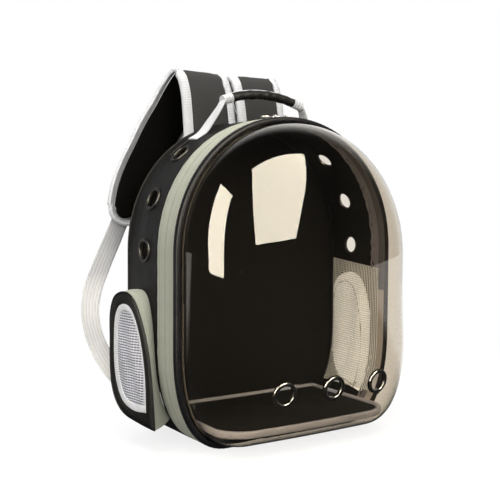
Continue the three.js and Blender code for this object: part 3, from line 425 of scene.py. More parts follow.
def finishMesh(name, points, faces, uvs, materials, faceLooks=None, sharp=50, closed=True):
    mesh = bpy.data.meshes.new(name)
    mesh.from_pydata(points.tolist(), [], faces)
    layer = mesh.uv_layers.new(name="cloth")
    layer.data.foreach_set("uv", np.ascontiguousarray(uvs, np.float32).ravel())
    for material in materials:
        mesh.materials.append(material)
    if faceLooks is not None:
        mesh.polygons.foreach_set("material_index", np.asarray(faceLooks, np.int32))
    if closed:
        work = bmesh.new()
        work.from_mesh(mesh)
        bmesh.ops.recalc_face_normals(work, faces=work.faces)
        work.to_mesh(mesh)
        work.free()
    mesh.shade_smooth()
    mesh.set_sharp_from_angle(angle=math.radians(sharp))
    mesh.update()
    piece = bpy.data.objects.new(name, mesh)
    bpy.context.scene.collection.objects.link(piece)
    return piece


# Surface through a grid of points; fans to a middle point close its first and last rows where caps is set
def gridPiece(name, grid, materials, closeRows=False, closeColumns=False, caps=False, looksOf=None,
              **more):
    solid = more.pop("closed", (closeRows or caps) and closeColumns)
    rows, columns = grid.shape[:2]
    r, c = quadCorners(rows, columns, closeRows, closeColumns)
    down, across = reachAlong(grid, 0, closeRows), reachAlong(grid, 1, closeColumns)
    faces = ((r % rows) * columns + c % columns).tolist()
    uvs = np.stack([down[r], across[c]], 2).reshape(-1, 2)
    points = grid.reshape(-1, 3)
    faceLooks = None if looksOf is None else looksOf(r[:, 0], c[:, 0])
    if caps:
        ring = np.arange(columns)
        for row, middle in ((0, grid[0].mean(0)), (rows - 1, grid[-1].mean(0))):
            centre = len(points)
            points = np.vstack([points, middle])
            start = row * columns
            fan = np.stack([start + ring, start + (ring + 1) % columns, np.full(columns, centre)], 1)
            faces += fan.tolist()
            radius = np.linalg.norm(grid[row] - middle, axis=1).mean()
            edge = np.stack([np.full(columns, down[row]), across[:columns]], 1)
            nextEdge = np.stack([np.full(columns, down[row]),
                                 across[1:columns + 1] if closeColumns else across], 1)
            tip = np.stack([np.full(columns, down[row] + radius), across[:columns]], 1)
            uvs = np.vstack([uvs, np.stack([edge, nextEdge, tip], 1).reshape(-1, 2)])
            if faceLooks is not None:
                faceLooks = np.concatenate([faceLooks, np.zeros(columns, int)])
    return finishMesh(name, points, faces, uvs, materials, faceLooks, closed=solid, **more)


# Closed wall between two grids of one shape: cells marked open are left out, and every free edge is
# walled
def wallPiece(name, outer, inner, openCells, materials, closeRows=False, closeColumns=False, poles=None,
              **more):
    rows, columns = outer.shape[:2]
    count = rows * columns
    r, c = quadCorners(rows, columns, closeRows, closeColumns)
    solid = ~openCells
    keep = solid.ravel()
    quads = ((r % rows) * columns + c % columns)[keep]
    down, across = reachAlong(outer, 0, closeRows), reachAlong(outer, 1, closeColumns)
    uv = np.stack([down[r], across[c]], 2)[keep]
    edges = []
    sides = np.pad(solid, ((0, 0), (1, 1)), mode="wrap" if closeColumns else "constant")
    rr, cc = np.nonzero(sides[:, 1:] != sides[:, :-1])
    if closeColumns:
        rr, cc = rr[cc < columns], cc[cc < columns]
    edges.append(np.stack([rr * columns + cc, ((rr + 1) % rows) * columns + cc], 1))
    sides = np.pad(solid, ((1, 1), (0, 0)), mode="wrap" if closeRows else "constant")
    if poles is not None:
        sides[-1] = True
    rr, cc = np.nonzero(sides[1:] != sides[:-1])
    if closeRows:
        rr, cc = rr[rr < rows], cc[rr < rows]
    edges.append(np.stack([rr * columns + cc, rr * columns + (cc + 1) % columns], 1))
    rim = np.vstack(edges)
    walls = np.stack([rim[:, 0], rim[:, 1], rim[:, 1] + count, rim[:, 0] + count], 1)
    points = np.vstack([outer.reshape(-1, 3), inner.reshape(-1, 3)])
    faces = np.vstack([quads, quads + count, walls]).tolist()
    uvs = np.concatenate([uv.reshape(-1, 2), uv.reshape(-1, 2), np.zeros((len(walls) * 4, 2))])
    kinds = np.concatenate([np.zeros(len(quads), int), np.ones(len(quads), int),
                            np.zeros(len(walls), int)])
    if poles is not None:
        ring = np.arange(columns)
        last = (rows - 1) * columns
        for turn, middle in enumerate(poles):
            fan = np.stack([last + ring, last + (ring + 1) % columns, np.full(columns, 0)],
                           1) + turn * count
            fan[:, 2] = len(points)
            points = np.vstack([points, middle])
            faces += fan.tolist()
            uvs = np.vstack([uvs, np.zeros((columns * 3, 2))])
            kinds = np.concatenate([kinds, np.full(columns, turn)])
    used = np.zeros(len(points), bool)
    used[np.concatenate([np.ravel(face) for face in faces])] = True
    renumber = np.cumsum(used) - 1
    faces = [[int(renumber[v]) for v in face] for face in faces]
    faceLooks = kinds if len(materials) > 1 else None
    return finishMesh(name, points[used], faces, uvs, materials, faceLooks, **more)


# Points of a path respaced evenly by length
def respace(points, count, closed=False):
    path = np.vstack([points, points[:1]]) if closed else points
    reach = np.concatenate([[0.0], np.cumsum(np.linalg.norm(np.diff(path, axis=0), axis=1))])
    wanted = np.linspace(0, reach[-1], count + 1)[:-1] if closed else np.linspace(0, reach[-1], count)
    return np.stack([np.interp(wanted, reach, path[:, k]) for k in range(path.shape[1])], 1)


# Smooth path through points: cubic spans whose slopes weigh each gap by the root of its length
def smoothPath(points, perSpan=24):
    points = np.asarray(points, float)
    ends = np.vstack([2 * points[0] - points[1], points, 2 * points[-1] - points[-2]])
    gaps = np.sqrt(np.linalg.norm(np.diff(ends, axis=0), axis=1))[:, None]
    a, b, c, d = ends[:-3], ends[1:-2], ends[2:-1], ends[3:]
    before, here, after = gaps[:-2], gaps[1:-1], gaps[2:]
    leave = ((b - a) / before - (c - a) / (before + here) + (c - b) / here) * here
    arrive = ((c - b) / here - (d - b) / (here + after) + (d - c) / after) * here
    t = np.linspace(0, 1, perSpan, endpoint=False)[None, :, None]
    b, c, leave, arrive = (x[:, None] for x in (b, c, leave, arrive))
    spans = (2 * t**3 - 3 * t**2 + 1) * b + (t**3 - 2 * t**2 + t) * leave
    spans = spans + (3 * t**2 - 2 * t**3) * c + (t**3 - t**2) * arrive
    return np.vstack([spans.reshape(-1, points.shape[1]), points[-1:]])


def unit(vectors):
    return vectors / np.linalg.norm(vectors, axis=-1, keepdims=True)


def fullTurn(count):
    return np.linspace(0, 2 * np.pi, count, endpoint=False)


# A wave kept in sign and raised to a power: below one it gets flatter sides
def flatter(wave, power):
    return np.sign(wave) * np.abs(wave) ** power


# Outward directions in the plane of a closed anticlockwise loop
def loopNormals(loop):
    tangent = unit(np.roll(loop, -1, 0) - np.roll(loop, 1, 0))
    return np.stack([tangent[:, 1], -tangent[:, 0]], 1)


# True for points inside a closed loop, by counting the edges that a ray from each one crosses
def insideLoop(points, loop):
    a, b = loop, np.roll(loop, -1, 0)
    x, y = points[:, :1], points[:, 1:]
    spans = (a[:, 1] > y) != (b[:, 1] > y)
    rise = np.where(b[:, 1] == a[:, 1], 1e-12, b[:, 1] - a[:, 1])
    crossing = a[:, 0] + (y - a[:, 1]) * (b[:, 0] - a[:, 0]) / rise
    return (spans & (x < crossing)).sum(1) % 2 == 1


def settle(piece, *nodes, slot=None):
    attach(piece, "root")
    if nodes:
        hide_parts(*nodes)
    return piece


# Piece from a grid that closes both ways
def closedPiece(name, grid, look, *nodes, slot):
    piece = gridPiece(name, grid, [looks[look]], closeRows=True, closeColumns=True)
    return settle(piece, *nodes, slot=slot)


# Piece from rings that follow one another, capped at both ends
def cappedPiece(name, grid, look, *nodes, slot):
    piece = gridPiece(name, grid, [looks[look]], closeColumns=True, caps=True)
    return settle(piece, *nodes, slot=slot)


def depthsOf(node):
    return [corner[1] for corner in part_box(node)]


bothSides = ((-1, "left"), (1, "right"))

# Outline of the body
bodyShape = {"flat": 0.190, "cornerRise": 0.130, "cornerPower": 2.3, "archRise": 0.175,
             "archPower": 2.05, "gap": 0.0003}
wallLow, wallHigh = (np.array(corner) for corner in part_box("side_wall"))
halfWidth, bodyHeight, backPlane = wallHigh[0], wallHigh[2], wallHigh[1]
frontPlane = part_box("rim_binding")[0][1]
archShoulder = bodyHeight - bodyShape["archRise"]


# Flat base, superelliptic lower corners, straight sides and a superelliptic arch, once round from the
# middle of the base
def outlineLoop(inset, count):
    turn = np.linspace(0, np.pi / 2, 200)
    flat, half = bodyShape["flat"] / 2, halfWidth - inset
    corner, arch = 2 / bodyShape["cornerPower"], 2 / bodyShape["archPower"]
    cornerRise = bodyShape["cornerRise"]
    low = np.stack([flat + (half - flat) * np.sin(turn) ** corner,
                    cornerRise - (cornerRise - inset) * np.cos(turn) ** corner], 1)
    high = np.stack([half * np.cos(turn) ** arch,
                     archShoulder + (bodyShape["archRise"] - inset) * np.sin(turn) ** arch], 1)
    right = np.vstack([[[0, inset]], low, high])
    right[-1, 0] = 0
    return respace(np.vstack([right, right[-2:0:-1] * (-1, 1)]), count, closed=True)


def archHeightAt(x, inset=0.0):
    share = np.minimum(1, np.abs(x) / (halfWidth - inset))
    power = bodyShape["archPower"]
    return archShoulder + (bodyShape["archRise"] - inset) * (1 - share**power) ** (1 / power)


def halfWidthAt(z, inset=0.0):
    loop = outlineLoop(inset, 1600)[:800]
    return np.interp(z, loop[:, 1], loop[:, 0])


# A profile of depth and outward distance, carried round the outline
def carryRound(profile, inset, count, ripple=None):
    loop = outlineLoop(inset, count)
    normal = loopNormals(loop)
    out = np.broadcast_to(profile[:, 1], (count, len(profile)))
    if ripple is not None:
        out = out + ripple
    x = loop[:, :1] + normal[:, :1] * out
    z = loop[:, 1:] + normal[:, 1:] * out
    return np.stack([x, np.broadcast_to(profile[:, 0], x.shape), z], 2)


# Rounded closed profile about a middle, given as half-depth and half-thickness, with flatter sides for a
# higher power
def roundProfile(depth, out, halfDepth, halfOut, count=20, power=2.0):
    turn = fullTurn(count)
    c, s = np.cos(turn), np.sin(turn)
    return np.stack([depth + halfDepth * flatter(c, 2 / power),
                     out + halfOut * flatter(s, 2 / power)], 1)


# Pocket outlines, shared by the wall's openings and the pockets
pocket = {
    "length": 0.096, "height": 0.164, "bottom": 0.029, "backGap": 0.003, "frontRise": 0.013,
    "backRise": 0.028, "wall": 0.002, "face": 0.002, "footRise": 0.0056, "footTrim": 0.0028,
    "footEase": 1.6, "holeInset": 0.005, "bindingWide": 0.0088, "bindingNarrow": 0.0030,
    "netSag": 0.0035, "zipBulge": 0.0022, "zipSeams": (0.30, 0.5, 0.72), "zipSeamDepth": 0.0006,
    "outline": [(0, 0), (0.34, 0.02), (0.69, 0.06), (0.86, 0.135), (0.96, 0.25), (1, 0.42), (1, 0.62),
                (0.99, 0.84), (0.9, 0.955), (0.74, 1), (0.58, 0.995), (0.44, 0.94), (0.29, 0.8),
                (0.15, 0.59), (0.065, 0.33)],
    "window": [(0.17, 0.11), (0.46, 0.1), (0.7, 0.15), (0.84, 0.27), (0.9, 0.42), (0.91, 0.6),
               (0.88, 0.8), (0.79, 0.89), (0.65, 0.915), (0.52, 0.89), (0.39, 0.79), (0.27, 0.61),
               (0.195, 0.38)],
}
pocketFront = backPlane - pocket["backGap"] - pocket["length"]


def pocketLoop(key, count):
    rows = np.array(pocket[key]) * (pocket["length"], pocket["height"])
    return respace(smoothPath(np.vstack([rows, rows[:1]])), count, closed=False)[:-1]


def insetLoop(loop, distance):
    before = unit(loop - np.roll(loop, 1, 0))
    after = unit(np.roll(loop, -1, 0) - loop)
    normal = unit(np.stack([-before[:, 1] - after[:, 1], before[:, 0] + after[:, 0]], 1))
    spread = np.maximum(0.6, normal[:, 0] * -before[:, 1] + normal[:, 1] * before[:, 0])
    return loop + normal * (distance / spread)[:, None]


# The loop on the pocket's tilted face, sunk below it
def onFace(loop, side, sunk):
    climb = (pocket["backRise"] - pocket["frontRise"]) * loop[:, 0] / pocket["length"]
    rise = pocket["frontRise"] + climb
    return np.stack([side * (halfWidth + rise - sunk), pocketFront + loop[:, 0],
                     pocket["bottom"] + loop[:, 1]], 1)


# The loop where the pocket meets the side wall, as depth and height
def footLoop(loop):
    first = wallLow[1] + bodyShape["gap"] + 0.001
    last = pocketFront + pocket["length"] - pocket["backGap"]
    z = pocket["bottom"] + pocket["footRise"] + loop[:, 1] * (1 - pocket["footTrim"] / pocket["height"])
    share = np.maximum(0, loop[:, 0] / pocket["length"]) ** pocket["footEase"]
    return np.stack([first + (last - first) * share, z], 1)


# Side wall
wall = {
    "thickness": 0.0022, "cells": 640, "across": 42,
    "eyeletDepth": 0.019, "eyeletHeights": {"top": 0.886, "middle": 0.745, "low": 0.588},
    "eyeletRadius": 0.0155, "eyeletHole": 0.0112,
    # folds by their share of the height, side, depth, reach and slant
    "folds": [(0.94, -1, 0.0030, 0.045, 0.9), (0.90, -1, 0.0024, 0.03, -0.6),
              (0.821, -1, 0.0022, 0.05, 0.5), (0.70, -1, 0.0016, 0.05, -0.7),
              (0.64, -1, 0.0014, 0.04, 0.4), (0.94, 1, 0.0026, 0.045, -0.8),
              (0.87, 1, 0.0022, 0.035, 0.5), (0.80, 1, 0.0024, 0.05, -0.5),
              (0.655, 1, 0.0016, 0.05, 0.6)],
}


def eyeletSpots():
    spots = []
    loop = outlineLoop(0, 2000)
    normal = loopNormals(loop)
    for side, sideName in bothSides:
        for name, share in wall["eyeletHeights"].items():
            near = np.argmin(np.hypot(loop[:, 1] - share * bodyHeight,
                                      (np.sign(loop[:, 0]) != side) * 9.0))
            spot = np.array([loop[near, 0], wall["eyeletDepth"], loop[near, 1]])
            spots.append({"name": f"side_eyelet_{sideName}_{name}", "point": spot,
                          "axis": np.array([normal[near, 0], 0, normal[near, 1]])})
    return spots


sideSpots = eyeletSpots()


# Folds press the wall inwards along slanted lines, and faint ripples follow the stitched front edge
def wallPress(loop, depth):
    x, z, y = loop[:, :1], loop[:, 1:], depth[None, :]
    share = (y - wallLow[1]) / (wallHigh[1] - wallLow[1])
    pressed = np.zeros((len(loop), depth.shape[0]))
    for up, side, deep, reach, slant in wall["folds"]:
        away = (z / bodyHeight - up + slant * reach * (share - 0.7)) / reach
        span = np.clip((share - 0.45) / 0.25, 0, 1) * np.clip((1 - share) / 0.12, 0, 1)
        pressed += (np.sign(x) == side) * deep * np.exp(-away**2) * span
    ripple = np.sin(z * 330 + 2 * np.sin(z * 47)) * np.exp(-share * 9)
    return pressed + 0.0003 * ripple * (z > 0.02)


def sideWall():
    count, across = wall["cells"], wall["across"]
    loop = outlineLoop(0, count)
    normal = loopNormals(loop)
    depth = np.linspace(wallLow[1], wallHigh[1], across)
    pressed = wallPress(loop, depth)
    layers = []
    for sink in (0.0, wall["thickness"]):
        out = -(pressed + sink)
        x = loop[:, :1] + normal[:, :1] * out
        z = np.maximum(loop[:, 1:] + normal[:, 1:] * out, 0.0)
        layers.append(np.stack([x, np.broadcast_to(depth, x.shape), z], 2))
    outer, inner = layers
    middle = (outer + np.roll(outer, -1, 0))[:, :-1] / 4 + (outer + np.roll(outer, -1, 0))[:, 1:] / 4
    openCells = np.zeros(middle.shape[:2], bool)
    for spot in sideSpots:
        openCells |= np.linalg.norm(middle - spot["point"], axis=2) < wall["eyeletHole"] + 0.002
    hole = footLoop(insetLoop(pocketLoop("outline", 120), pocket["holeInset"]))
    flat = middle[:, :, 1:].reshape(-1, 2)
    openCells |= insideLoop(flat, hole).reshape(openCells.shape) & (np.abs(middle[:, :, 0]) > 0.1)
    piece = wallPiece("side_wall_cloth", outer, inner, openCells, [looks["blackCloth"], looks["lining"]],
                      closeRows=True)
    settle(piece, "side_wall", slot="black_cloth")
    for side, sideName in bothSides:
        edge = hole[::2]
        x = side * (halfWidthAt(edge[:, 1]) - wall["thickness"])
        path = np.stack([x, edge[:, 0], edge[:, 1]], 1)
        hem = tubeLoop(path, 0.0017)
        closedPiece(f"pocket_hole_hem_{sideName}", hem, "lining", slot="black_cloth")


# Tube round a closed path: rings square to the path about its middle line
def tubeLoop(path, radius, sides=10):
    tangent = unit(np.roll(path, -1, 0) - np.roll(path, 1, 0))
    return ringsAlong(path, tangent, np.full(len(path), radius), sides)


def ringsAlong(path, tangent, radius, sides, squash=1.0):
    centre = path.mean(0)
    out = path - centre
    out = unit(out - (out * tangent).sum(1, keepdims=True) * tangent)
    over = np.cross(tangent, out)
    turn = fullTurn(sides)
    ring = np.cos(turn)[None, :, None] * out[:,
                                             None] + squash * np.sin(turn)[None, :, None] * over[:, None]
    return path[:, None] + ring * np.asarray(radius)[:, None, None]


sideWall()
print("side wall made")

# Zip round the front, its coil, the rim binding and the seams inside
zipBand = {"rings": 560, "teeth": 520, "groove": 0.0030, "grooveDepth": 0.00045, "inset": 0.0004,
           "thickness": 0.0014, "meet": 0.0003, "toothShape": (0.0, 0.00035, 0.0004, 0.0001),
           "coilSunk": 0.0008, "coilTall": 0.0006, "coilInset": 0.0006}


# Tape across its width: tucked edge, shallow crown, a stitched groove, and a folded edge at the coil
def tapeProfile(outerEdge, coilEdge):
    share = np.linspace(0, 1, 40)
    depth = outerEdge + (coilEdge - outerEdge) * share
    fromCoil = np.abs(coilEdge - depth)
    fromEdge = np.abs(depth - outerEdge)
    out = 0.0002 * np.sin(np.pi * share)
    out = out - 0.0009 * np.exp(-(fromEdge / 0.0007) ** 2) - 0.0010 * np.exp(-(fromCoil / 0.0005) ** 2)
    out = out - zipBand["grooveDepth"] * np.exp(-((fromCoil - zipBand["groove"]) / 0.0005) ** 2)
    under = np.stack([depth[::-6], np.full(len(depth[::-6]), -zipBand["thickness"])], 1)
    return np.vstack([np.stack([depth, out], 1), under])


def zipRound():
    frontLow, frontHigh = depthsOf("zip_tape_front")
    rearLow, rearHigh = depthsOf("zip_tape_rear")
    coilLow, coilHigh = depthsOf("zip_coil")
    middle = (coilLow + coilHigh) / 2
    ripple = 0.00012 * np.sin(np.linspace(0, 2 * np.pi * 60, zipBand["rings"]))[:, None]
    for name, edge, meet, node in (("front", frontLow, middle - zipBand["meet"], "zip_tape_front"),
                                   ("rear", rearHigh, middle + zipBand["meet"], "zip_tape_rear")):
        grid = carryRound(tapeProfile(edge, meet), zipBand["inset"], zipBand["rings"], ripple)
        closedPiece(f"zip_tape_{name}_cloth", grid, "sageTape", node, slot="sage_tape")
    tooth = np.tile(zipBand["toothShape"], zipBand["teeth"])[:, None]
    sunk, tall = zipBand["coilSunk"], zipBand["coilTall"]
    bead = roundProfile(middle, -sunk, (coilHigh - coilLow) / 2 * 0.8, tall, 10)
    bulge = tooth * np.clip(bead[:, 1] + sunk, 0, None) / tall
    grid = carryRound(bead, zipBand["coilInset"], zipBand["teeth"] * 4, bulge)
    closedPiece("zip_coil_teeth", grid, "coil", "zip_coil", slot="sage_tape")


rim = {"reachBack": 0.003, "round": 0.004, "rings": 860, "section": 28}


def rimBinding():
    low, high = depthsOf("rim_binding")
    high = high + rim["reachBack"]
    turn = fullTurn(rim["section"])
    depth = (low + high) / 2 + (high - low) / 2 * flatter(np.cos(turn), 0.8)
    out = -rim["round"] + rim["round"] * flatter(np.sin(turn), 0.8)
    dip = 0.0009 * np.exp(-((depth - (high - 0.0022)) / 0.0006) ** 2) * (out > -0.003)
    pucker = fullTurn(rim["rings"])[:, None]
    ripple = 0.00015 * np.sin(pucker * 210 + 1.5 * np.sin(pucker * 17)) * (out > -0.003)
    grid = carryRound(np.stack([depth, out - dip], 1), 0, rim["rings"], ripple)
    closedPiece("rim_binding_cloth", grid, "darkBinding", "rim_binding", slot="dark_binding")


# Bands inside the front seam, the wavy piping behind them, and the piping where the wall meets the back
inner = {
    # height below which the rim band gets a lighter copy laid over it, as painted light
    "around": 420, "across": 12, "thin": 0.0008, "paintedLightTop": 0.187,
    # first and last depth from the front plane, inset, sway of the edge, look
    "bands": [("seam_tape", 0.0140, 0.0190, 0.0036, 0.0004, "lining"),
              ("seam_ribbon", 0.0172, 0.0330, 0.0030, 0.0008, "seamBand"),
              ("seam_lining", 0.0310, 0.0560, 0.0024, 0.0003, "lining"),
              ("rim_lining", 0.0005, 0.0125, 0.0102, 0.0002, "rimBand")],
    # depth, inset, radius, sway, look
    "pipings": [("seam_piping", 0.0345, 0.0036, 0.0015, 0.0011, "seamBand"),
                ("inner_back_piping", 0.1225, 0.0040, 0.0013, 0.0, "darkBinding"),
                ("outer_back_piping", 0.1328, 0.0006, 0.0016, 0.0, "blackCloth")],
}


def inside():
    turn = fullTurn(inner["around"])[:, None]
    share = np.linspace(0, 1, inner["across"])
    for name, first, last, inset, sway, look in inner["bands"]:
        depth = frontPlane + first + (last - first) * share
        wave = sway * np.sin(turn * 60 + 2 * np.sin(turn * 13)) * share**2
        over = np.stack([depth, np.zeros_like(depth)], 1)
        under = np.stack([depth[::-1], np.full(len(depth), -inner["thin"])], 1)
        grid = carryRound(np.vstack([over, under]), inset, inner["around"],
                          np.hstack([wave, wave[:, ::-1]]))
        closedPiece(name, grid, look, slot="black_cloth")
    # Painted light: a lighter copy of the rim band's lower part, below the top of the side pockets, laid
    # just inside it
    low = np.roll(grid[:, :inner["across"]], -int(np.argmax(grid[:, 0, 2] > inner["paintedLightTop"])), 0)
    low = low[low[:, 0, 2] < inner["paintedLightTop"]] - [0, 0.0002, 0]
    middle = np.array([0.0, 0.0, bodyHeight / 2])
    low = middle + (low - middle) * [0.9925, 1.0, 0.994]
    settle(gridPiece("rim_painted_light", low, [looks["rimPatch"]], closed=False), slot="black_cloth")
    for name, depth, inset, radius, sway, look in inner["pipings"]:
        path = outlineLoop(inset, inner["around"])
        lean = sway * np.sin(turn[:, 0] * 70 + 3 * np.sin(turn[:, 0] * 11))
        path = np.stack([path[:, 0], frontPlane + depth + lean, path[:, 1]], 1)
        closedPiece(name, tubeLoop(path, radius, 8), look, slot="black_cloth")


zipRound()
rimBinding()
inside()
print("zip, rim and seams made")

# Clear bubble
bubble = {"rise": 0.095, "wall": 0.0015, "rimInset": 0.0083, "flange": 0.008, "side": 2.38,
          "bottom": 3.2, "top": 2.2, "around": 400, "turns": 88, "eyeletHeight": 0.082,
          "eyeletSpacing": 0.073, "eyeletRadius": 0.0162, "eyeletHole": 0.0112}
bubbleMiddle = bodyHeight / 2


def bubblePower(across, upright):
    return bubble["side"] * across**2 + np.where(upright < 0, bubble["bottom"],
                                                 bubble["top"]) * (1 - across**2)


# Sections from the rim to the front follow a superellipse, whose power turns from side to top and bottom
def bubbleLayer(inset, wallDepth):
    loop = outlineLoop(inset, bubble["around"]) - (0, bubbleMiddle)
    direction = unit(loop)
    power = bubblePower(direction[:, 0], direction[:, 1])[None, :]
    angle = np.linspace(0, 0.994, bubble["turns"])[:, None] * np.pi / 2
    share = np.cos(angle) ** (2 / power)
    rise = (bubble["rise"] - wallDepth) * np.sin(angle) ** (2 / power)
    grid = np.stack([loop[:, 0] * share, frontPlane - rise, bubbleMiddle + loop[:, 1] * share], 2)
    flangeDepth = np.linspace(frontPlane + bubble["flange"], frontPlane, 4, endpoint=False)[:, None]
    ones = np.ones_like(flangeDepth)
    flange = np.stack([loop[:, 0] * ones, flangeDepth + 0 * loop[:, 0],
                       bubbleMiddle + loop[:, 1] * ones], 2)
    return np.vstack([flange, grid])


def bubbleDepthAt(x, z, wallDepth=0.0):
    loop = outlineLoop(bubble["rimInset"] + wallDepth, 4000) - (0, bubbleMiddle)
    away = np.array([x, z - bubbleMiddle])
    heading = np.arctan2(loop[:, 1], loop[:, 0])
    order = np.argsort(heading)
    rim = np.interp(np.arctan2(away[1], away[0]), heading[order], np.linalg.norm(loop, axis=1)[order])
    share = min(1.0, np.linalg.norm(away) / rim)
    direction = away / np.linalg.norm(away)
    power = bubblePower(direction[0], direction[1])
    return frontPlane - (bubble["rise"] - wallDepth) * (1 - share**power) ** (1 / power)


def bubbleSpots():
    spots = []
    height, step = bubble["eyeletHeight"], 0.0005
    for name, x in (("left", -bubble["eyeletSpacing"]), ("middle", 0.0),
                    ("right", bubble["eyeletSpacing"])):
        slopeX = (bubbleDepthAt(x + step, height) - bubbleDepthAt(x - step, height)) / (2 * step)
        slopeZ = (bubbleDepthAt(x, height + step) - bubbleDepthAt(x, height - step)) / (2 * step)
        axis = unit(np.array([slopeX, -1.0, slopeZ]))
        spots.append({"name": f"bubble_eyelet_{name}",
                      "point": np.array([x, bubbleDepthAt(x, height), height]), "axis": axis})
    return spots


frontSpots = bubbleSpots()


def clearBubble():
    outer = bubbleLayer(bubble["rimInset"], 0.0)
    inner = bubbleLayer(bubble["rimInset"] + bubble["wall"], bubble["wall"])
    centres = (outer + np.roll(outer, -1, 1)) / 2
    centres = (centres[1:] + centres[:-1]) / 2
    openCells = np.zeros(centres.shape[:2], bool)
    for spot in frontSpots:
        openCells |= np.linalg.norm(centres - spot["point"], axis=2) < bubble["eyeletHole"] + 0.0026
    poles = [np.array([0, frontPlane - bubble["rise"], bubbleMiddle]),
             np.array([0, frontPlane - bubble["rise"] + bubble["wall"], bubbleMiddle])]
    piece = wallPiece("bubble_sheet", outer, inner, openCells, [looks["clearSheet"]], closeColumns=True,
                      poles=poles)
    settle(piece, "bubble", slot="clear_sheet")


clearBubble()
print("bubble made")

eyelet = {"lip": 0.0014, "rearLip": 0.0009, "fold": 0.0008, "around": 64}


# Eyelet: rolled lips in front and behind, joined by a barrel, turned round its axis
def eyeletRing(spot, radius, hole, front, back, look, slot):
    turn = np.linspace(0, np.pi, 9)
    middle, half = (radius + hole) / 2, (radius - hole) / 2
    lip = np.stack([middle + half * np.cos(turn), front + eyelet["lip"] * np.sin(turn) ** 0.8], 1)
    lip = np.vstack([[radius - eyelet["fold"], front - 0.0002], lip[0], lip[1:-1],
                     [hole + 0.0001, front]])
    rear = np.stack([middle - half * np.cos(turn), -back - eyelet["rearLip"] * np.sin(turn) ** 0.8], 1)
    sleeve = hole + eyelet["fold"]
    barrel = [[sleeve, -back], [sleeve, front - 0.0002]]
    profile = np.vstack([lip, rear, barrel])
    around = fullTurn(eyelet["around"])
    axis = spot["axis"]
    first = unit(np.cross(axis, [0.0, 1.0, 0.0] if abs(axis[1]) < 0.7 else [1.0, 0.0, 0.0]))
    second = np.cross(axis, first)
    spoke = np.cos(around)[:, None] * first + np.sin(around)[:, None] * second
    grid = spot["point"] + spoke[:, None] * profile[None, :, :1] + axis * profile[None, :, 1:]
    closedPiece(spot["name"] + "_ring", grid, look, spot["name"], slot=slot)


for spot in sideSpots:
    eyeletRing(spot, wall["eyeletRadius"], wall["eyeletHole"], 0.0003, wall["thickness"] - 0.0006,
               "blackMetal", "dark_metal")
for spot in frontSpots:
    eyeletRing(spot, bubble["eyeletRadius"], bubble["eyeletHole"], 0.0003, bubble["wall"] + 0.0014,
               "darkMetal", "dark_metal")
print("eyelets made")

# Back panel and floor mat
backPad = {"edge": 0.0028, "depth": 0.008, "crown": 0.009, "rings": 56, "frontRings": 30, "around": 340,
           "seamHalf": 0.085, "seamLevels": (0.075, 0.16, 0.245, 0.33), "seamWidth": 0.005,
           "seamDepth": 0.0035}


# Padded back: a crown that rises quickly from the edge, pressed in along a sewn frame and three sewn
# channels
def backRelief(x, z, share):
    crown = backPad["crown"] * (1 - share**4) ** 0.8
    half, wide, levels = backPad["seamHalf"], backPad["seamWidth"], backPad["seamLevels"]
    upright = (z > levels[0]) & (z < levels[-1])
    seams = np.exp(-((np.abs(x) - half) / wide) ** 2) * upright
    for level in levels:
        seams = np.maximum(seams, np.exp(-((z - level) / wide) ** 2) * (np.abs(x) < half + 0.002))
    return crown - backPad["seamDepth"] * seams


def backPanel():
    loop = outlineLoop(backPad["edge"], backPad["around"])
    middle = np.array([0, bodyHeight / 2])
    share = np.linspace(1, 0.01, backPad["rings"])[:, None]
    x = loop[:, 0] * share
    z = middle[1] + (loop[:, 1] - middle[1]) * share
    y = backPlane + backRelief(x, z, share)
    back = np.stack([x, y, z], 2)
    flat = np.stack([loop[:, 0], np.full(len(loop), backPlane - backPad["depth"]), loop[:, 1]], 1)
    frontShare = np.linspace(0.01, 1, backPad["frontRings"])[:, None]
    front = np.stack([loop[:, 0] * frontShare, np.full((backPad["frontRings"], len(loop)), flat[0, 1]),
                      middle[1] + (loop[:, 1] - middle[1]) * frontShare], 2)
    grid = np.vstack([front, back])

    def frontFaces(r, c):
        return (r < backPad["frontRings"]).astype(int)

    piece = gridPiece("back_panel_pad", grid, [looks["padCloth"], looks["lining"]], closeColumns=True,
                      caps=True, looksOf=frontFaces)
    settle(piece, "back_panel", slot="pad_cloth")


mat = {"band": 0.0088, "baseDepth": 0.098, "top": 0.032, "shoulder": 0.021, "edge": 0.006,
       "binding": 0.005, "frontCorner": 0.026, "backCorner": 0.004, "around": 300, "rimGap": 0.003,
       "frontGap": 0.0032}
matBack = backPlane - backPad["depth"] - bodyShape["gap"]
matUnder = mat["top"] - mat["edge"]
matHalf = halfWidthAt(matUnder, bubble["rimInset"] + bubble["wall"]) - mat["rimGap"]


def cornerArc(x, y, radius, start, back):
    turn = np.radians(start + np.linspace(0, 90, 14))
    middle = (x - math.copysign(radius, x), y - radius if back else y + radius)
    return np.stack([middle[0] + radius * np.cos(turn), middle[1] + radius * np.sin(turn)], 1)


# The mat's front line follows the inside of the bubble
matShare = -np.cos(np.linspace(0, np.pi, 60))
matFront = np.array([bubbleDepthAt(x, matUnder,
                                   bubble["wall"]) for x in matShare * matHalf]) + mat["frontGap"]


# The mat seen from above, moved inwards by an inset: square at the back
def matLoop(inset):
    half, back = matHalf - inset, matBack - inset
    points = [cornerArc(x, back, mat["backCorner"], start, True) for x, start in ((half, 0), (-half, 90))]
    points.append(np.stack([matShare * half, matFront + inset], 1))
    return respace(np.vstack(points), mat["around"], closed=True)


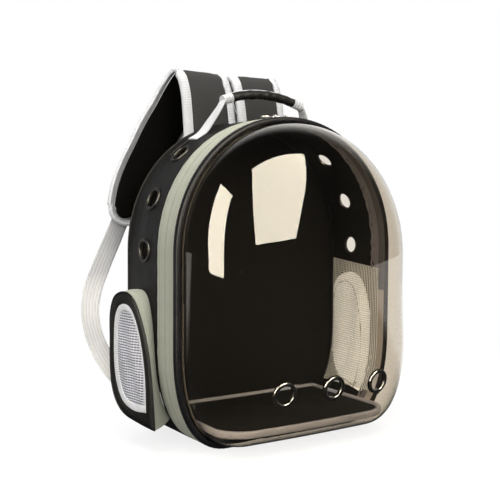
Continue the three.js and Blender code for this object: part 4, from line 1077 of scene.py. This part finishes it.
# The block below it, which stays behind the zip
def matBaseLoop(inset):
    half, back = matHalf - inset, matBack - inset
    front = matBack - mat["baseDepth"] + inset
    corner = max(mat["backCorner"], mat["frontCorner"] - inset)
    points = [cornerArc(half, back, mat["backCorner"], 0, True),
              cornerArc(-half, back, mat["backCorner"], 90, True),
              cornerArc(-half, front, corner, 180, False), cornerArc(half, front, corner, 270, False)]
    return respace(np.vstack(points), mat["around"], closed=True)


def lift(loop, z):
    return np.stack([loop[:, 0], loop[:, 1], np.broadcast_to(z, len(loop))], 1)


def floorMat():
    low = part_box("floor_mat_base")[0][2]
    rows = ((0, 0.0), (0.4, 0.3), (0.72, 0.6), (0.9, 0.8), (1, 1))
    narrow = matHalf - bodyShape["flat"] / 2 + 0.002
    loops = [lift(matBaseLoop(narrow * (1 - out)), low + (mat["shoulder"] - low) * up) for out,
             up in rows]
    loops.append(lift(matBaseLoop(0), matUnder - 0.0003))
    cappedPiece("floor_mat_base_cloth", np.stack(loops), "padCloth", "floor_mat_base", slot="pad_cloth")
    inset = mat["binding"] + bodyShape["gap"]
    share = np.linspace(1, 0.02, 40)
    edge = matLoop(inset)
    middle = edge.mean(0)
    rows = [lift(edge, matUnder)]
    for s in share:
        shrunk = middle + (edge - middle) * s
        dip = 0.0012 * np.sin(shrunk[:, 0] * 60 + 1) * np.sin(shrunk[:, 1] * 80)
        rows.append(lift(shrunk, mat["top"] - 0.0012 + (1 - s**6) * 0.0018 + dip * (1 - s) * 1.2))
    piece = cappedPiece("floor_mat_top_pad", np.stack(rows), "lining", "floor_mat_top", slot="pad_cloth")
    turn = fullTurn(16)
    inwards = mat["binding"] / 2 * (1 - flatter(np.cos(turn), 0.7))
    height = matUnder + mat["band"] / 2 * (1 + flatter(np.sin(turn), 0.7))
    grid = np.stack([lift(matLoop(i), z) for i, z in zip(inwards, height)], 1)
    closedPiece("floor_mat_edge_band", grid, "creamEdge", "floor_mat_edge", slot="cream_edge")


backPanel()
floorMat()
print("back panel and floor mat made")

# Net panels inside
net = {"across": 60, "up": 90, "gap": 0.0046, "slack": 0.004, "pleat": 0.0012, "topDrop": 0.010}


# A sheet just inside the wall, slack between its seams and drawn in along a few soft pleats
def innerNet(side, sideName):
    low, high = (np.array(corner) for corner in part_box(f"inner_mesh_{sideName}"))
    y = np.linspace(low[1], high[1], net["across"])[None, :]
    z = np.linspace(low[2], high[2], net["up"])[:, None]
    shareY, shareZ = (y - low[1]) / (high[1] - low[1]), (z - low[2]) / (high[2] - low[2])
    slack = net["slack"] * np.sin(np.pi * shareY) ** 0.6 * np.sin(np.pi * shareZ) ** 0.6
    pleat = net["pleat"] * np.sin(shareY * 17 + 2.5 * shareZ)
    pleat = pleat * np.sin(np.pi * shareZ) ** 0.5 * np.sin(np.pi * shareY) ** 0.5
    out = halfWidthAt(z, net["gap"]) - slack - pleat
    top = net["topDrop"] * (1 - shareY) * shareZ
    grid = np.stack([side * out + 0 * y, y + 0 * z, z - top + 0 * y], 2)
    piece = gridPiece(f"inner_net_{sideName}", grid, [looks["innerNet"]])
    settle(piece, f"inner_mesh_{sideName}", slot="light_net")


for side, sideName in bothSides:
    innerNet(side, sideName)
print("inner nets made")


# Side pockets: the binding narrows where the window runs along the pocket's front
def bindingWidth(loop):
    normal = loopNormals(loop)
    towardsFront = np.clip(-normal[:, 0], 0, 1) ** 2
    return pocket["bindingWide"] + (pocket["bindingNarrow"] - pocket["bindingWide"]) * towardsFront


# Light cloth sewn over the wall's opening, between the wall and the inner net, with shallow folds
lining = {"front": -0.036, "length": 0.094, "low": 0.034, "height": 0.172, "gap": 0.0037}


# Its net material glows with painted light, standing in for light that comes in through the pocket's net
def pocketLining(side, sideName):
    outline = pocketLoop("outline", 200)
    foot = footLoop(outline)
    share = (foot - foot.min(0)) / np.ptp(foot, axis=0)
    edge = np.array([lining["front"], lining["low"]]) + share * [lining["length"], lining["height"]]
    centre = edge.mean(0)
    rows = []
    for s in np.linspace(1, 0.02, 44):
        loop = centre + (edge - centre) * s
        rows.append(np.stack([side * (halfWidthAt(loop[:, 1]) - lining["gap"]), loop[:, 0], loop[:, 1]],
                             1))
    piece = gridPiece(f"pocket_lining_{sideName}", np.stack(rows), [looks["pocketLining"]],
                      closeColumns=True, closed=False)
    flatUv(piece)
    settle(piece, slot="light_net")


def pocketPieces(side, sideName):
    count = 260
    outer, window = pocketLoop("outline", count + 1), pocketLoop("window", count + 1)
    foot = footLoop(outer)
    footX = side * (halfWidthAt(foot[:, 1]) + 2 * bodyShape["gap"])
    footPoints = np.stack([footX, foot[:, 0], foot[:, 1]], 1)
    facePoints = onFace(outer, side, pocket["face"] + bodyShape["gap"])
    middle = facePoints.mean(0)
    rows = []
    depths = np.linspace(0, 1, 34)
    outward = unit((facePoints - middle) * (0, 1, 1))
    for layer, flip in ((0.0, 1), (pocket["wall"], -1)):
        sheet = []
        for s in depths[::flip]:
            point = footPoints * (1 - s) + facePoints * s
            bulge = pocket["zipBulge"] * math.sin(math.pi * s) ** 0.8
            for line in pocket["zipSeams"]:
                bulge -= pocket["zipSeamDepth"] * math.exp(-((s - line) / 0.02) ** 2)
            sheet.append(point + outward * (bulge - layer))
        rows += sheet
    grid = np.stack(rows)
    closedPiece(f"pocket_zip_{sideName}_cloth", grid, "sageTape", f"pocket_zip_{sideName}",
                slot="sage_tape")
    share = np.linspace(0, 1, 16)
    front, back = [], []
    for s in share:
        loop = outer * (1 - s) + window * s
        puff = -0.0010 * math.sin(math.pi * min(1, s * 1.1)) ** 0.7 + 0.0016 * math.exp(-(s / 0.06) ** 2)
        front.append(onFace(loop, side, puff))
        back.append(onFace(loop, side, pocket["face"]))
    grid = np.stack(front + back[::-1])
    closedPiece(f"pocket_face_{sideName}_cloth", grid, "blackCloth", f"pocket_face_{sideName}",
                slot="black_cloth")
    turn = fullTurn(18)
    share = (1 + flatter(np.cos(turn), 0.6)) / 2
    sunk = 0.0008 - 0.0014 * flatter(np.sin(turn), 0.6)
    width = bindingWidth(window)
    grid = np.stack([onFace(insetLoop(window, width * i), side, s) for i, s in zip(share, sunk)], 1)
    closedPiece(f"pocket_binding_{sideName}_band", grid, "whiteBinding", f"pocket_binding_{sideName}",
                slot="white_binding")
    edge = insetLoop(window, width - 0.001)
    centre = edge.mean(0)
    rows = []
    for s in np.linspace(1, 0.02, 60):
        loop = centre + (edge - centre) * s
        fold = 0.0011 * np.sin(loop[:, 0] * 210 + 2.2 * np.sin(loop[:, 1] * 38)) * (1 - s**3)
        rows.append(onFace(loop, side, 0.0008 - pocket["netSag"] * (1 - s**2) - fold))
    piece = gridPiece(f"pocket_net_{sideName}", np.stack(rows), [looks["pocketNet"]], closeColumns=True,
                      closed=False)
    flatUv(piece)
    settle(piece, f"pocket_mesh_{sideName}", slot="light_net")
    piping = onFace(outer, side, 0.0008)
    closedPiece(f"pocket_piping_{sideName}", tubeLoop(piping, 0.0015, 10), "darkBinding",
                slot="dark_binding")


# UV from depth and height, for a pattern that runs level across a panel
def flatUv(piece):
    mesh = piece.data
    corners = np.empty(len(mesh.loops), np.int32)
    mesh.loops.foreach_get("vertex_index", corners)
    points = np.empty(len(mesh.vertices) * 3, np.float32)
    mesh.vertices.foreach_get("co", points)
    flat = points.reshape(-1, 3)[corners][:, 1:]
    mesh.uv_layers["cloth"].data.foreach_set("uv", np.ascontiguousarray(flat).ravel())


for side, sideName in bothSides:
    pocketPieces(side, sideName)
    pocketLining(side, sideName)
print("pockets made")

# Shoulder straps
strap = {
    "width": 0.082, "thickness": 0.010, "spacing": 0.088, "rise": 0.076, "reach": 0.060, "drop": 0.138,
    "spread": 0.110, "binding": 0.012, "sink": 0.001, "steps": 150, "tipSteps": 24, "rootShare": 0.12,
    # spread outwards, reach behind the seam, rise or drop, width
    "rows": [(0, 0, 0, 1), (0, 0.08, 0.37, 1), (0, 0.2, 0.71, 1), (0.005, 0.34, 0.92, 1),
             (0.015, 0.53, 1, 0.99), (0.05, 0.71, 0.92, 0.98), (0.135, 0.87, 0.66, 0.97),
             (0.26, 0.96, 0.3, 0.95), (0.41, 1, -0.03, 0.92), (0.58, 0.98, -0.25, 0.87),
             (0.75, 0.95, -0.455, 0.8), (0.885, 0.9, -0.64, 0.72), (0.965, 0.85, -0.82, 0.66),
             (1, 0.8, -1, 0.6)],
}
webbing = {
    "width": 0.025, "thickness": 0.0016, "spread": 0.162, "lap": 0.018, "end": 0.058,
    # spread, depth, drop and turn
    "rows": [(0.965, 0.05, 0, 0.05), (1.06, 0.06, -0.15, 0.1), (1.17, 0.04, -0.31, 0.15),
             (1.255, 0, -0.45, 0.45), (1.29, -0.08, -0.58, 0.7), (1.265, -0.25, -0.73, 0.75),
             (1.19, -0.55, -0.87, 0.5), (1.075, -0.97, -1, 0.1)],
}


# Middle line of a strap with its frame: across stays level, and the normal is square to both
def strapLine(side):
    rows = np.array(strap["rows"])
    rise = np.where(rows[:, 2] > 0, strap["rise"], strap["drop"])
    root = backPlane + bodyShape["gap"] + strap["thickness"] / 2
    seam = archHeightAt(strap["spacing"] / 2) - strap["sink"]
    points = np.stack([side * (strap["spacing"] / 2 + rows[:, 0] * strap["spread"]),
                       root + rows[:, 1] * strap["reach"], seam + rows[:, 2] * rise], 1)
    fine = smoothPath(points, 40)
    wide = np.interp(np.linspace(0, len(rows) - 1, len(fine)), np.arange(len(rows)), rows[:, 3])
    reach = np.concatenate([[0], np.cumsum(np.linalg.norm(np.diff(fine, axis=0), axis=1))])
    tangent = unit(np.gradient(fine, axis=0))
    across = unit(np.array([1.0, 0, 0]) - tangent[:, :1] * tangent)
    return {"reach": reach, "centre": fine, "tangent": tangent, "across": across,
            "normal": np.cross(across, tangent), "half": wide * strap["width"] / 2, "length": reach[-1]}


def along(line, key, distance):
    values = line[key]
    if values.ndim == 1:
        return np.interp(distance, line["reach"], values)
    return np.stack([np.interp(distance, line["reach"], values[:, k]) for k in range(3)], -1)


# Point of the strap at a distance along it, across it and proud of its middle; its root follows the arch
def strapPoint(line, distance, across, proud):
    distance, across, proud = np.broadcast_arrays(np.asarray(distance, float), across, proud)
    point = along(line, "centre", distance) + along(line, "across", distance) * across[..., None]
    point = point + along(line, "normal", distance) * proud[..., None]
    middle = line["centre"][0, 0]
    fade = np.maximum(0, 1 - distance / (line["length"] * strap["rootShare"]))
    point[..., 2] += (archHeightAt(middle + across) - archHeightAt(middle)) * fade
    return point


def strapPad(line, sideName):
    inside = strap["binding"] - 0.001
    tip = along(line, "half", line["length"])
    start = line["length"] - tip
    distance = np.linspace(0, start, strap["steps"])
    wide = along(line, "half", distance) - inside
    turn = np.linspace(0, np.pi / 2, strap["tipSteps"])[1:-1]
    distance = np.concatenate([distance, start + (tip - inside) * np.sin(turn)])
    wide = np.concatenate([wide, (tip - inside) * np.cos(turn)])
    around = fullTurn(44)
    c, s = np.cos(around), np.sin(around)
    across = flatter(c, 0.55)
    proud = flatter(s, 0.45) * (0.82 + 0.18 * (1 - across**4))
    crease = 1 + 0.05 * np.sin(distance * 160)[:, None] * (1 - across**2)
    half = strap["thickness"] / 2
    grid = strapPoint(line, distance[:, None], wide[:, None] * across, half * proud * crease)

    def underside(r, c):
        return (proud[c] + proud[(c + 1) % len(proud)] < 0).astype(int)

    piece = gridPiece(f"strap_pad_{sideName}_cloth", grid, [looks["padCloth"], looks["airMesh"]],
                      closeColumns=True, caps=True, looksOf=underside)
    settle(piece, f"strap_pad_{sideName}", slot="pad_cloth")


# Binding folded over the strap's edge: down one side, round the tip and up the other
def strapEdge(line, sideName):
    tip = along(line, "half", line["length"])
    start = line["length"] - tip
    side = np.linspace(0, start, strap["steps"])
    wide = along(line, "half", side)
    turn = np.linspace(0, np.pi, 2 * strap["tipSteps"])[1:-1]
    inner = tip - strap["binding"]
    outDistance = np.concatenate([side, start + tip * np.sin(turn), side[::-1]])
    inDistance = np.concatenate([side, start + inner * np.sin(turn), side[::-1]])
    outAcross = np.concatenate([-wide, -tip * np.cos(turn), wide[::-1]])
    inAcross = np.concatenate([-(wide - strap["binding"]), -inner * np.cos(turn),
                               (wide - strap["binding"])[::-1]])
    # share outwards and share proud, round the folded tape
    section = np.array([(0, 0.98), (0.1, 1.02), (0.4, 1.05), (0.7, 0.98), (0.9, 0.75), (0.98, 0.4),
                        (1, 0), (0.98, -0.4), (0.95, -0.65), (0.9, -0.85), (0.84, -0.98), (0.78, -1.0),
                        (0.75, -0.94), (0.8, -0.4), (0.12, 0.4)])
    share, proud = section[:, 0][None], section[:, 1][None] * (strap["thickness"] / 2 - 0.0004)
    distance = inDistance[:, None] * (1 - share) + outDistance[:, None] * share
    across = inAcross[:, None] * (1 - share) + outAcross[:, None] * share
    grid = strapPoint(line, distance, across, proud)
    cappedPiece(f"strap_edge_{sideName}_band", grid, "whiteBinding", f"strap_edge_{sideName}",
                slot="white_binding")


# Flat band along a path: a rounded section set across a direction that is kept square to the path
def bandAlong(path, acrossHint, width, thickness, power=5.0, count=20):
    tangent = unit(np.gradient(path, axis=0))
    across = unit(acrossHint - (acrossHint * tangent).sum(1, keepdims=True) * tangent)
    normal = np.cross(across, tangent)
    turn = fullTurn(count)
    c, s = np.cos(turn), np.sin(turn)
    wide = flatter(c, 2 / power)
    proud = flatter(s, 2 / power) * thickness / 2
    sideways = across[:, None] * (wide[None, :, None] * np.asarray(width)[:, None, None] / 2)
    return path[:, None] + sideways + normal[:, None] * proud[None, :, None]


def strapWebbing(line, side, sideName):
    proud = (strap["thickness"] + webbing["thickness"]) / 2 + bodyShape["gap"]
    start = strapPoint(line, line["length"] - webbing["lap"], 0.0, proud)
    rows = np.array(webbing["rows"])
    back = start[1] - (backPlane + bodyShape["gap"] + webbing["thickness"])
    points = np.stack([start[0] + side * (rows[:, 0] - rows[0, 0]) * webbing["spread"],
                       start[1] + (rows[:, 1] - rows[0, 1]) * back,
                       start[2] + rows[:, 2] * (start[2] - webbing["end"])], 1)
    points[-1, 1] = backPlane + bodyShape["gap"] + webbing["thickness"] / 2
    angle = rows[:, 3] * side
    hints = np.stack([np.cos(angle), np.sin(angle), np.full(len(angle), 0.2)], 1)
    path, hint = smoothPath(points, 16), smoothPath(hints, 16)
    grid = bandAlong(path, hint, np.full(len(path), webbing["width"]), webbing["thickness"])
    cappedPiece(f"strap_webbing_{sideName}_band", grid, "greyWebbing", f"strap_webbing_{sideName}",
                slot="grey_webbing")


for side, sideName in bothSides:
    line = strapLine(side)
    strapPad(line, sideName)
    strapEdge(line, sideName)
    strapWebbing(line, side, sideName)
print("straps made")

# Top handle
handle = {
    "depth": 0.026, "lean": 0.020, "span": 0.196, "rise": 0.035, "grip": 0.100, "gripRadius": 0.0065,
    "wrap": 0.014, "wrapRadius": 0.0075, "strapWidth": 0.029, "strapThickness": 0.002, "sag": 0.007,
    # run, height above the arch, lean and width, as shares
    "rows": [(0, 1, 1, 0), (0.18, 0.735, 0.96, 0.1), (0.37, 0.4, 0.6, 0.36), (0.63, 0.04, 0.12, 0.7),
             (1, 0.014, 0, 1)],
}


def gripHeight(x):
    return bodyHeight + handle["rise"] - handle["sag"] * (x / (handle["grip"] / 2)) ** 2


# Round bar along the grip's arc, its radius varied along and round it
def barAlong(x, radius, squash=1.0):
    path = np.stack([x, np.full(len(x), handle["depth"] - handle["lean"]), gripHeight(x)], 1)
    tangent = unit(np.gradient(path, axis=0))
    over = np.array([0.0, 1.0, 0.0])
    up = np.cross(tangent, over)
    turn = fullTurn(32)
    ring = np.cos(turn)[None, :, None] * over + squash * np.sin(turn)[None, :, None] * -up[:, None]
    return path[:, None] + ring * radius[..., None]


def topHandle():
    x = np.linspace(-handle["grip"] / 2, handle["grip"] / 2, 120)
    turn = fullTurn(32)
    puff = 1 - 0.10 * np.exp(-((x / 0.002) ** 2)) + 0.03 * np.sin(x * 260)
    wrinkle = 0.04 * np.sin(x[:, None] * 420 + 2.2 * np.sin(turn)[None])
    radius = handle["gripRadius"] * (puff[:, None] + wrinkle)
    grid = barAlong(x, radius, 0.92)
    piece = cappedPiece("handle_grip_cloth", grid, "blackCloth", "handle_grip", slot="black_cloth")
    path = np.stack([x, np.full(len(x), handle["depth"] - handle["lean"] + 0.002),
                     gripHeight(x) + handle["gripRadius"] * 0.95], 1)
    piping = bandAlong(path, np.tile([0.0, 1.0, 0.0], (len(x), 1)), np.full(len(x), 0.0024), 0.0016,
                       power=2.0, count=10)
    cappedPiece("handle_grip_piping", piping, "whiteBinding", slot="white_binding")
    for side, sideName in bothSides:
        start = handle["grip"] / 2 + 2 * bodyShape["gap"]
        x = side * np.linspace(start, handle["grip"] / 2 + handle["wrap"], 40)
        share = np.linspace(0, 1, 40)
        fold = 1 + 0.05 * np.sin(share * 19)[:, None] + 0.03 * np.sin(turn * 3 + 1)[None]
        grid = barAlong(x, handle["wrapRadius"] * 0.97 * fold, 0.85)
        cappedPiece(f"handle_wrap_{sideName}_band", grid, "whiteBinding", f"handle_wrap_{sideName}",
                    slot="white_binding")
        handleLeg(side, sideName)


def handleLeg(side, sideName):
    rows = np.array(handle["rows"])
    start = handle["grip"] / 2 + handle["wrap"] - 0.001
    x = start + rows[:, 0] * (handle["span"] / 2 - start)
    seat = handle["strapThickness"] / 2 + bodyShape["gap"]
    climb = gripHeight(start) - archHeightAt(start) - seat
    width = 2 * handle["wrapRadius"] + (handle["strapWidth"] - 2 * handle["wrapRadius"]) * rows[:, 3]
    table = np.stack([side * x, handle["depth"] - handle["lean"] * rows[:, 2],
                      archHeightAt(x) + seat + rows[:, 1] * climb, width], 1)
    fine = smoothPath(table, 16)
    hint = np.tile([0.0, 1.0, 0.0], (len(fine), 1))
    grid = bandAlong(fine[:, :3], hint, fine[:, 3], handle["strapThickness"])
    cappedPiece(f"handle_leg_{sideName}_band", grid, "whiteBinding", f"handle_leg_{sideName}",
                slot="white_binding")


topHandle()
print("handle made")

# Zip sliders and pulls
slider = {"length": 0.011, "width": 0.008, "height": 0.005, "spacing": 0.018, "pull": 0.005,
          "wire": 0.0011, "stretch": 1.35}


# Slider: a waisted plate above and below a bridge, from a superelliptic section that narrows in its
# middle
def zipSlider(side, sideName):
    coilLow, coilHigh = depthsOf("zip_coil")
    depth = (coilLow + coilHigh) / 2
    x = side * slider["spacing"] / 2
    base = archHeightAt(x) + bodyShape["gap"]
    slope = (archHeightAt(x + 0.001) - archHeightAt(x - 0.001)) / 0.002
    share = np.linspace(-1, 1, 40)
    waist = 0.62 + 0.38 * share**2
    half = slider["width"] / 2 * waist * np.maximum(0.0, 1 - np.abs(share) ** 7) ** 0.4 + 0.0002
    tall = slider["height"] / 2 * (0.55 + 0.45 * np.exp(-(share / 0.35) ** 2)) * (1 - 0.25 * share**4)
    turn = fullTurn(24)
    c, s = np.cos(turn), np.sin(turn)
    wide = flatter(c, 0.6)
    up = flatter(s, 0.6)
    px = x + share[:, None] * slider["length"] / 2 + 0 * wide
    py = depth + half[:, None] * wide
    pz = base + slope * (px - x) + tall[:, None] * (1 + up)
    cappedPiece(f"zip_slider_{sideName}_body", np.stack([px, py, pz], 2), "brightMetal",
                f"zip_slider_{sideName}", slot="bright_metal")
    ring = (slider["pull"] + slider["wire"]) * slider["stretch"]
    reach = slider["length"] / 2 + ring + bodyShape["gap"]
    top = archHeightAt(x + side * slider["length"] / 2) + slider["wire"] + bodyShape["gap"]
    turn = fullTurn(60)
    path = np.stack([x + side * reach + slider["pull"] * slider["stretch"] * np.cos(turn),
                     depth + slider["pull"] * np.sin(turn), np.full(60, top)], 1)
    closedPiece(f"zip_pull_{sideName}_ring", tubeLoop(path, slider["wire"], 12), "brightMetal",
                f"zip_pull_{sideName}", slot="bright_metal")


for side, sideName in bothSides:
    zipSlider(side, sideName)
print("sliders made")

# Studio
studio = {
    "floorHalf": 6.0, "fadeFrom": 0.30, "fadeTo": 0.9, "floorTone": 0.90, "floorGlow": 0.8,
    "aim": (0.0, -0.1, 0.22), "floorMirrored": 0.035, "roomLight": 0.55, "roomMirrored": 0.03,
    "backdrop": (0.552, 0.834, 0.1), "backdropFrom": 0.42, "backdropTo": 0.85,
    # softboxes seen in the bubble: corners as headings from -Y towards -X and heights, in degrees
    "boxes": [
        {"name": "front", "reach": 2.0, "light": 26.0,
         "corners": [(15.2, 9.3), (-17.5, 11), (-44.5, 54.9), (30.4, 61.7)]},
        {"name": "side", "reach": 2.0, "light": 30.0,
         "corners": [(83.6, -3.8), (56.4, -4.4), (54.1, 41.9), (94.1, 49.2)]},
    ],
    "boxTint": (1.0, 0.905, 0.72),
    "lamps": [
        {"name": "top", "place": (-0.2, 0.1, 2.3), "size": 2.2, "power": 46},
        {"name": "left", "place": (-2.0, -0.9, 1.3), "size": 1.4, "power": 26},
        {"name": "front", "place": (-0.4, -2.4, 1.2), "size": 1.6, "power": 22},
    ],
}


def heading(degrees, height):
    a, e = math.radians(degrees), math.radians(height)
    return np.array([-math.sin(a) * math.cos(e), -math.cos(a) * math.cos(e), math.sin(e)])


# One for rays that come from the eye with nothing but clear sheets between
def seenStraight(tree, path):
    plain = calc(tree, "LESS_THAN", calc(tree, "ADD", path["Glossy Depth"], path["Diffuse Depth"]), 0.5)
    return calc(tree, "MULTIPLY", plain,
                calc(tree, "MAXIMUM", path["Is Camera Ray"], path["Is Transmission Ray"]))


# One for rays that come from the eye by way of a mirror image
def seenInMirror(tree, path):
    mirror = calc(tree, "GREATER_THAN", path["Glossy Depth"], 0.5)
    return calc(tree, "MULTIPLY", mirror, calc(tree, "LESS_THAN", path["Diffuse Depth"], 0.5))


# How far a place or direction lies towards the lit backdrop
def backdropShare(tree, where):
    inputs = {0: where, 1: studio["backdrop"]}
    return place(tree, "ShaderNodeVectorMath", {"operation": "DOT_PRODUCT"}, inputs).outputs["Value"]


# Floor: pale cloth near the carrier, fading to the white of the backdrop
def addFloor():
    along = np.linspace(-studio["floorHalf"], studio["floorHalf"], 9)
    grid = np.stack([along[:, None] + 0 * along, along[None, :] + 0 * along[:, None],
                     np.full((9, 9), -0.0002)], 2)
    material, tree, shader = newMaterial("floor")
    where = coordinates(tree)["Object"]
    away = place(tree, "ShaderNodeVectorMath", {"operation": "LENGTH"}, {0: where}).outputs["Value"]
    fade = toRange(tree, away, studio["fadeFrom"], studio["fadeTo"], studio["floorGlow"], smooth=True)
    noise = place(tree, "ShaderNodeTexNoise", None,
                  {"Vector": where, "Scale": 40.0, "Detail": 3.0}).outputs[0]
    tone = studio["floorTone"]
    colour = blendColours(tree, noise, (tone - 0.01,) * 3, (tone,) * 3)
    tree.links.new(colour, shader.inputs["Base Color"])
    shader.inputs["Roughness"].default_value = 0.9
    shader.inputs["Specular IOR Level"].default_value = 0.1
    path = place(tree, "ShaderNodeLightPath").outputs
    strength = calc(tree, "MULTIPLY_ADD", seenStraight(tree, path), 0.7, 0.3)
    glow = place(tree, "ShaderNodeEmission", None, {"Color": (1, 1, 1, 1), "Strength": strength})
    plain = place(tree, "ShaderNodeMixShader", None, {0: fade, 1: shader.outputs[0], 2: glow.outputs[0]})
    behind = backdropShare(tree, where)
    behind = toRange(tree, behind, 0.0, 0.35, studio["floorMirrored"], smooth=True)
    dark = place(tree, "ShaderNodeEmission", None, {"Color": (1, 1, 1, 1), "Strength": behind})
    mixed = place(tree, "ShaderNodeMixShader", None,
                  {0: seenInMirror(tree, path), 1: plain.outputs[0], 2: dark.outputs[0]})
    showSurface(tree, mixed)
    gridPiece("floor", grid, [material])


# White for the eye and through the sheet, dimmer for light and mirrors, as a studio with black walls
# behind its softboxes
def addWorld():
    world = bpy.data.worlds.new("studio")
    bpy.context.scene.world = world
    world.use_nodes = True
    tree = world.node_tree
    background = tree.nodes["Background"]
    path = place(tree, "ShaderNodeLightPath").outputs
    spread = calc(tree, "MULTIPLY", calc(tree, "GREATER_THAN", path["Diffuse Depth"], 0.5),
                  studio["roomLight"])
    towards = backdropShare(tree, coordinates(tree)["Generated"])
    mirrored = toRange(tree, towards, studio["backdropFrom"], studio["backdropTo"],
                       studio["roomMirrored"], smooth=True)
    mirrored = calc(tree, "MULTIPLY", mirrored, seenInMirror(tree, path))
    strength = calc(tree, "MAXIMUM", seenStraight(tree, path), calc(tree, "MAXIMUM", spread, mirrored))
    background.inputs[0].default_value = (1, 1, 1, 1)
    tree.links.new(strength, background.inputs[1])


def addSoftbox(box):
    aim = np.array(studio["aim"])
    low0, low1, high1, high0 = (aim + heading(*corner) * box["reach"] for corner in box["corners"])
    u = np.linspace(0, 1, 9)[None, :, None]
    v = np.linspace(0, 1, 9)[:, None, None]
    grid = (low0 * (1 - u) + low1 * u) * (1 - v) + (high0 * (1 - u) + high1 * u) * v
    material, tree, shader = newMaterial(f"softbox_{box['name']}")
    tree.nodes.remove(shader)
    lit = place(tree, "ShaderNodeEmission", None,
                {"Color": studio["boxTint"] + (1,), "Strength": box["light"]})
    showSurface(tree, lit)
    panel = gridPiece(f"softbox_{box['name']}", grid, [material], closed=False)
    panel.visible_camera = panel.visible_diffuse = panel.visible_shadow = panel.visible_transmission = False


def addLamp(lamp):
    data = bpy.data.lights.new(lamp["name"], "AREA")
    data.shape = "DISK"
    data.size = lamp["size"]
    data.energy = lamp["power"]
    obj = bpy.data.objects.new(lamp["name"], data)
    obj.location = lamp["place"]
    obj.visible_glossy = obj.visible_transmission = False
    ahead = Vector(studio["aim"]) - Vector(lamp["place"])
    obj.rotation_euler = ahead.to_track_quat("-Z", "Y").to_euler()
    bpy.context.scene.collection.objects.link(obj)


addFloor()
addWorld()
for box in studio["boxes"]:
    addSoftbox(box)
for lamp in studio["lamps"]:
    addLamp(lamp)
print("studio lit")
